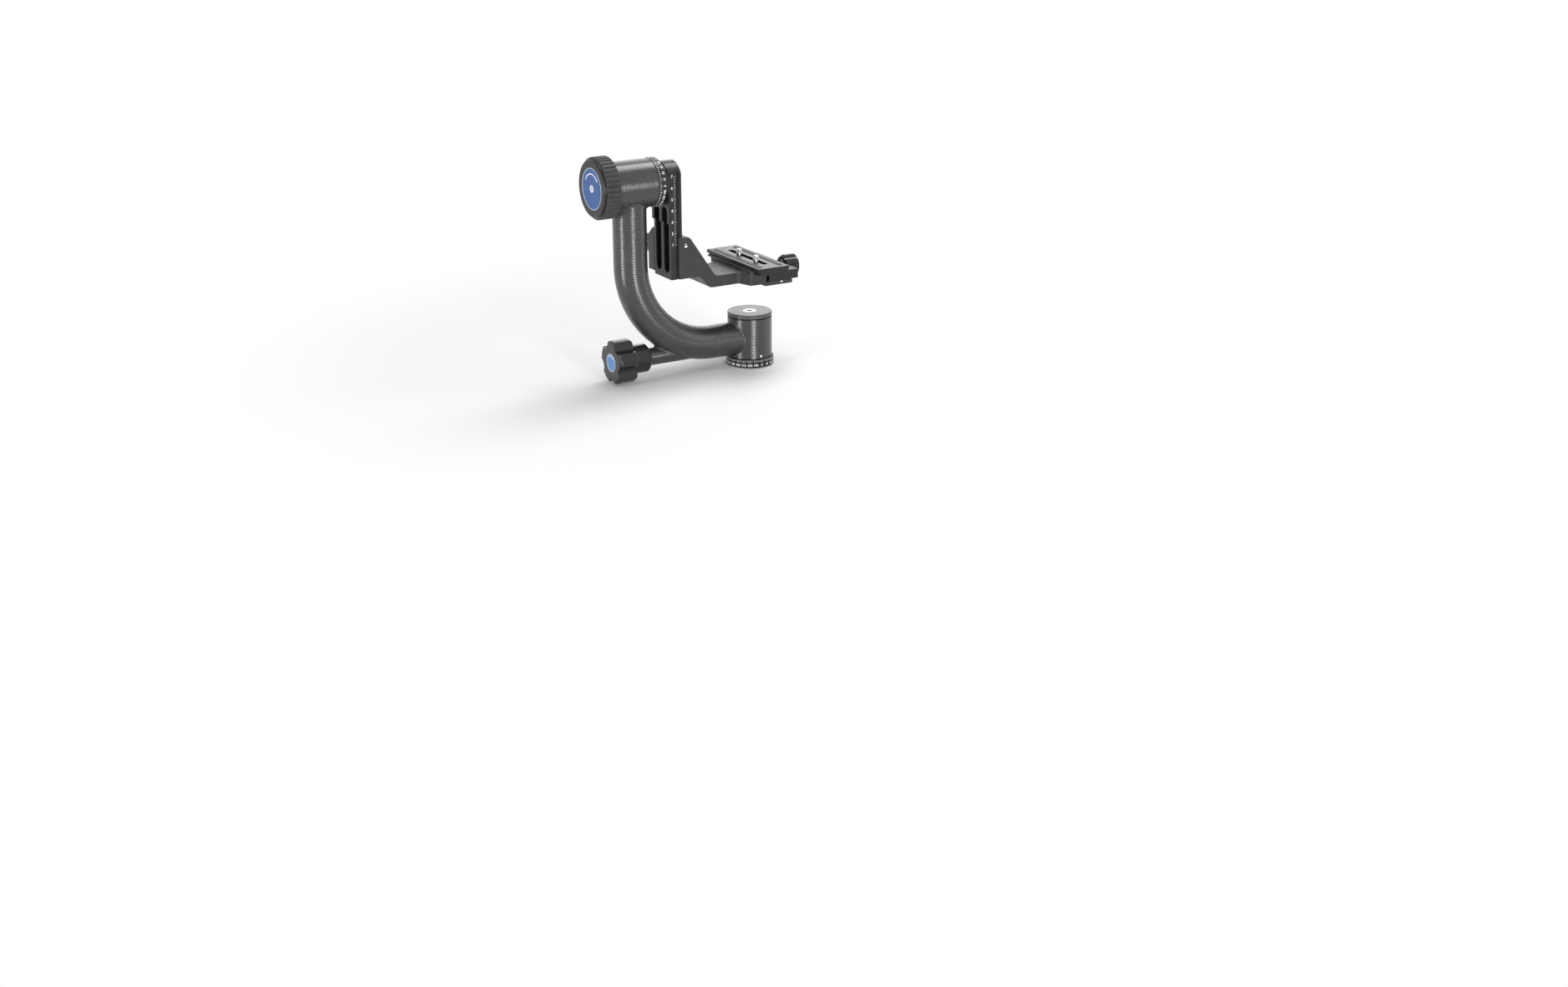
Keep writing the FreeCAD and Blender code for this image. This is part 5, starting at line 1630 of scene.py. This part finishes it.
@dataclass
class Studio:
    """Camera, lamps, floor and background."""

    camera_place: Point = (-1.1717, -1.9936, 0.6745)
    camera_right: Point = (0.8538, -0.5206, 0.0)
    camera_up: Point = (0.1755, 0.2877, 0.9415)
    camera_back: Point = (-0.4901, -0.8039, 0.3370)
    lens: float = 50.29
    sensor: float = 36.0
    near_clip: float = 0.01
    far_clip: float = 100.0
    floor_half: float = 40.0
    floor_colour: Colour = (0.92, 0.92, 0.92)
    floor_roughness: float = 0.9
    plain_from: float = 0.24
    plain_at: float = 0.62
    ambient: float = 0.32
    lamps: tuple[Lamp, ...] = (
        Lamp("front strip", (-0.22, -1.30, 0.21), (0.24, 0.40), 10.5),
        Lamp("side strip", (-1.42, -0.20, 0.21), (0.22, 0.40), 9.5),
        Lamp("top", (0.43, 0.22, 1.20), (0.5, 1.1), 11.0),
        Lamp("key", (-0.85, -1.05, 1.05), (0.5, 0.5), 2.0),
        Lamp("fill", (1.30, -0.60, 0.50), (0.3, 0.9), 3.0),
        Lamp("back", (0.79, 1.29, 0.62), (0.8, 0.8), 2.6))

    def build(self) -> None:
        """Sets the stage."""
        self.camera()
        self.floor()
        self.world()
        for lamp in self.lamps:
            lamp.build()
        bpy.context.scene.view_settings.view_transform = "Standard"

    def camera(self) -> None:
        """Camera at the head's usual three-quarter view."""
        data = bpy.data.cameras.new("camera")
        data.lens = self.lens
        data.sensor_width = self.sensor
        data.clip_start, data.clip_end = self.near_clip, self.far_clip
        holder = as_object("camera", data)
        turn = Matrix((self.camera_right, self.camera_up, self.camera_back)).transposed()
        holder.matrix_world = Matrix.Translation(self.camera_place) @ turn.to_4x4()
        bpy.context.scene.camera = holder

    @staticmethod
    def shown(graph: Graph) -> Wire:
        """1 for the rays that show the background, 0 for those that only light the head.

        Args:
            graph: graph that receives the nodes.

        Returns:
            The switch.
        """
        camera, mirrored, through = (
            graph.out("ShaderNodeLightPath", output=f"Is {kind} Ray")
            for kind in ("Camera", "Glossy", "Transmission"))
        return camera.op("MAXIMUM", mirrored).op("MAXIMUM", through)

    def world(self) -> None:
        """White surroundings, dimmer as a light than as a background."""
        world = bpy.data.worlds.new("studio")
        bpy.context.scene.world = world
        world.use_nodes = True
        graph = Graph(world.node_tree)
        shell = world.node_tree.nodes["Background"]
        feed(shell.inputs["Color"], (1.0, 1.0, 1.0, 1.0))
        feed(shell.inputs["Strength"], self.shown(graph) * (1.0 - self.ambient) + self.ambient)

    def floor(self) -> None:
        """Pale floor that keeps the head's shadow and turns plain white away from it."""
        half = self.floor_half
        mesh = from_faces("floor", ((-half, -half, 0), (half, -half, 0), (half, half, 0),
                                    (-half, half, 0)), ((0, 1, 2, 3),))
        material = bpy.data.materials.new("pale floor")
        material.use_nodes = True
        graph = Graph(material.node_tree)
        shader = material.node_tree.nodes["Principled BSDF"]
        feed(shader.inputs["Base Color"], (*self.floor_colour, 1.0))
        feed(shader.inputs["Roughness"], self.floor_roughness)
        feed(shader.inputs["Specular IOR Level"], 0.0)
        x, y, _ = graph.axes(graph.out("ShaderNodeTexCoord", output="Object"))
        far = graph.out("ShaderNodeMapRange", {"Value": (x * x + y * y).op("SQRT"),
                                               "From Min": self.plain_from,
                                               "From Max": self.plain_at},
                        interpolation_type="SMOOTHERSTEP")
        white = graph.out("ShaderNodeEmission", {"Strength": 1.0})
        blend = graph.out("ShaderNodeMixShader", {"Fac": far * self.shown(graph),
                                                  1: Wire(shader.outputs[0]), 2: white})
        feed(material.node_tree.nodes["Material Output"].inputs["Surface"], blend)
        mesh.materials.append(material)
        as_object("floor", mesh)


# ---- everything
PLAIN = {
    Look.CARBON: ("carbon_arm",),
    Look.STEEL: ("pan_inner_races", "pan_outer_races", "pan_brake_drum", "pan_wave_washer",
                 "pan_circlip", "pan_push_rod", "tilt_inner_races", "tilt_outer_races",
                 "tilt_spacer", "tilt_circlip", "tilt_pressure_ring", "height_guide_pins",
                 "clamp_guide_pins", "height_screw", "clamp_screw"),
    Look.BLACK_STEEL: ("tilt_ring_screws",),
    Look.LINER: ("pan_sleeve", "tilt_sleeve", "push_rod_guide"),
    Look.BRASS: ("tilt_knob_nut",),
    Look.ACETAL: ("pan_brake_pad", "tilt_friction_washer"),
    Look.BLACK: ("pan_knob_bush", "tilt_shaft"),
}


def dress_plain() -> None:
    """Gives a finish to the CAD nodes that keep their shape."""
    for look, nodes in PLAIN.items():
        for name in nodes:
            materials = frame["nodes"][name].data.materials
            materials.clear()
            materials.append(look.material)


def main() -> None:
    """Builds the head's sub-assemblies in order."""
    logging.basicConfig(level=logging.INFO, format="%(name)s: %(message)s")
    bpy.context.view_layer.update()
    Studio().build()
    dress_plain()
    for kind in (PanBase, PanLock, TiltLock, Swing, Cradle, LensClamp, LensPlate):
        assembly = kind()
        assembly.build()
        for piece in assembly.pieces:
            log.info("%s: %s, %d faces", kind.__name__, piece.name, len(piece.data.polygons))


if __name__ == "__main__":
    main()
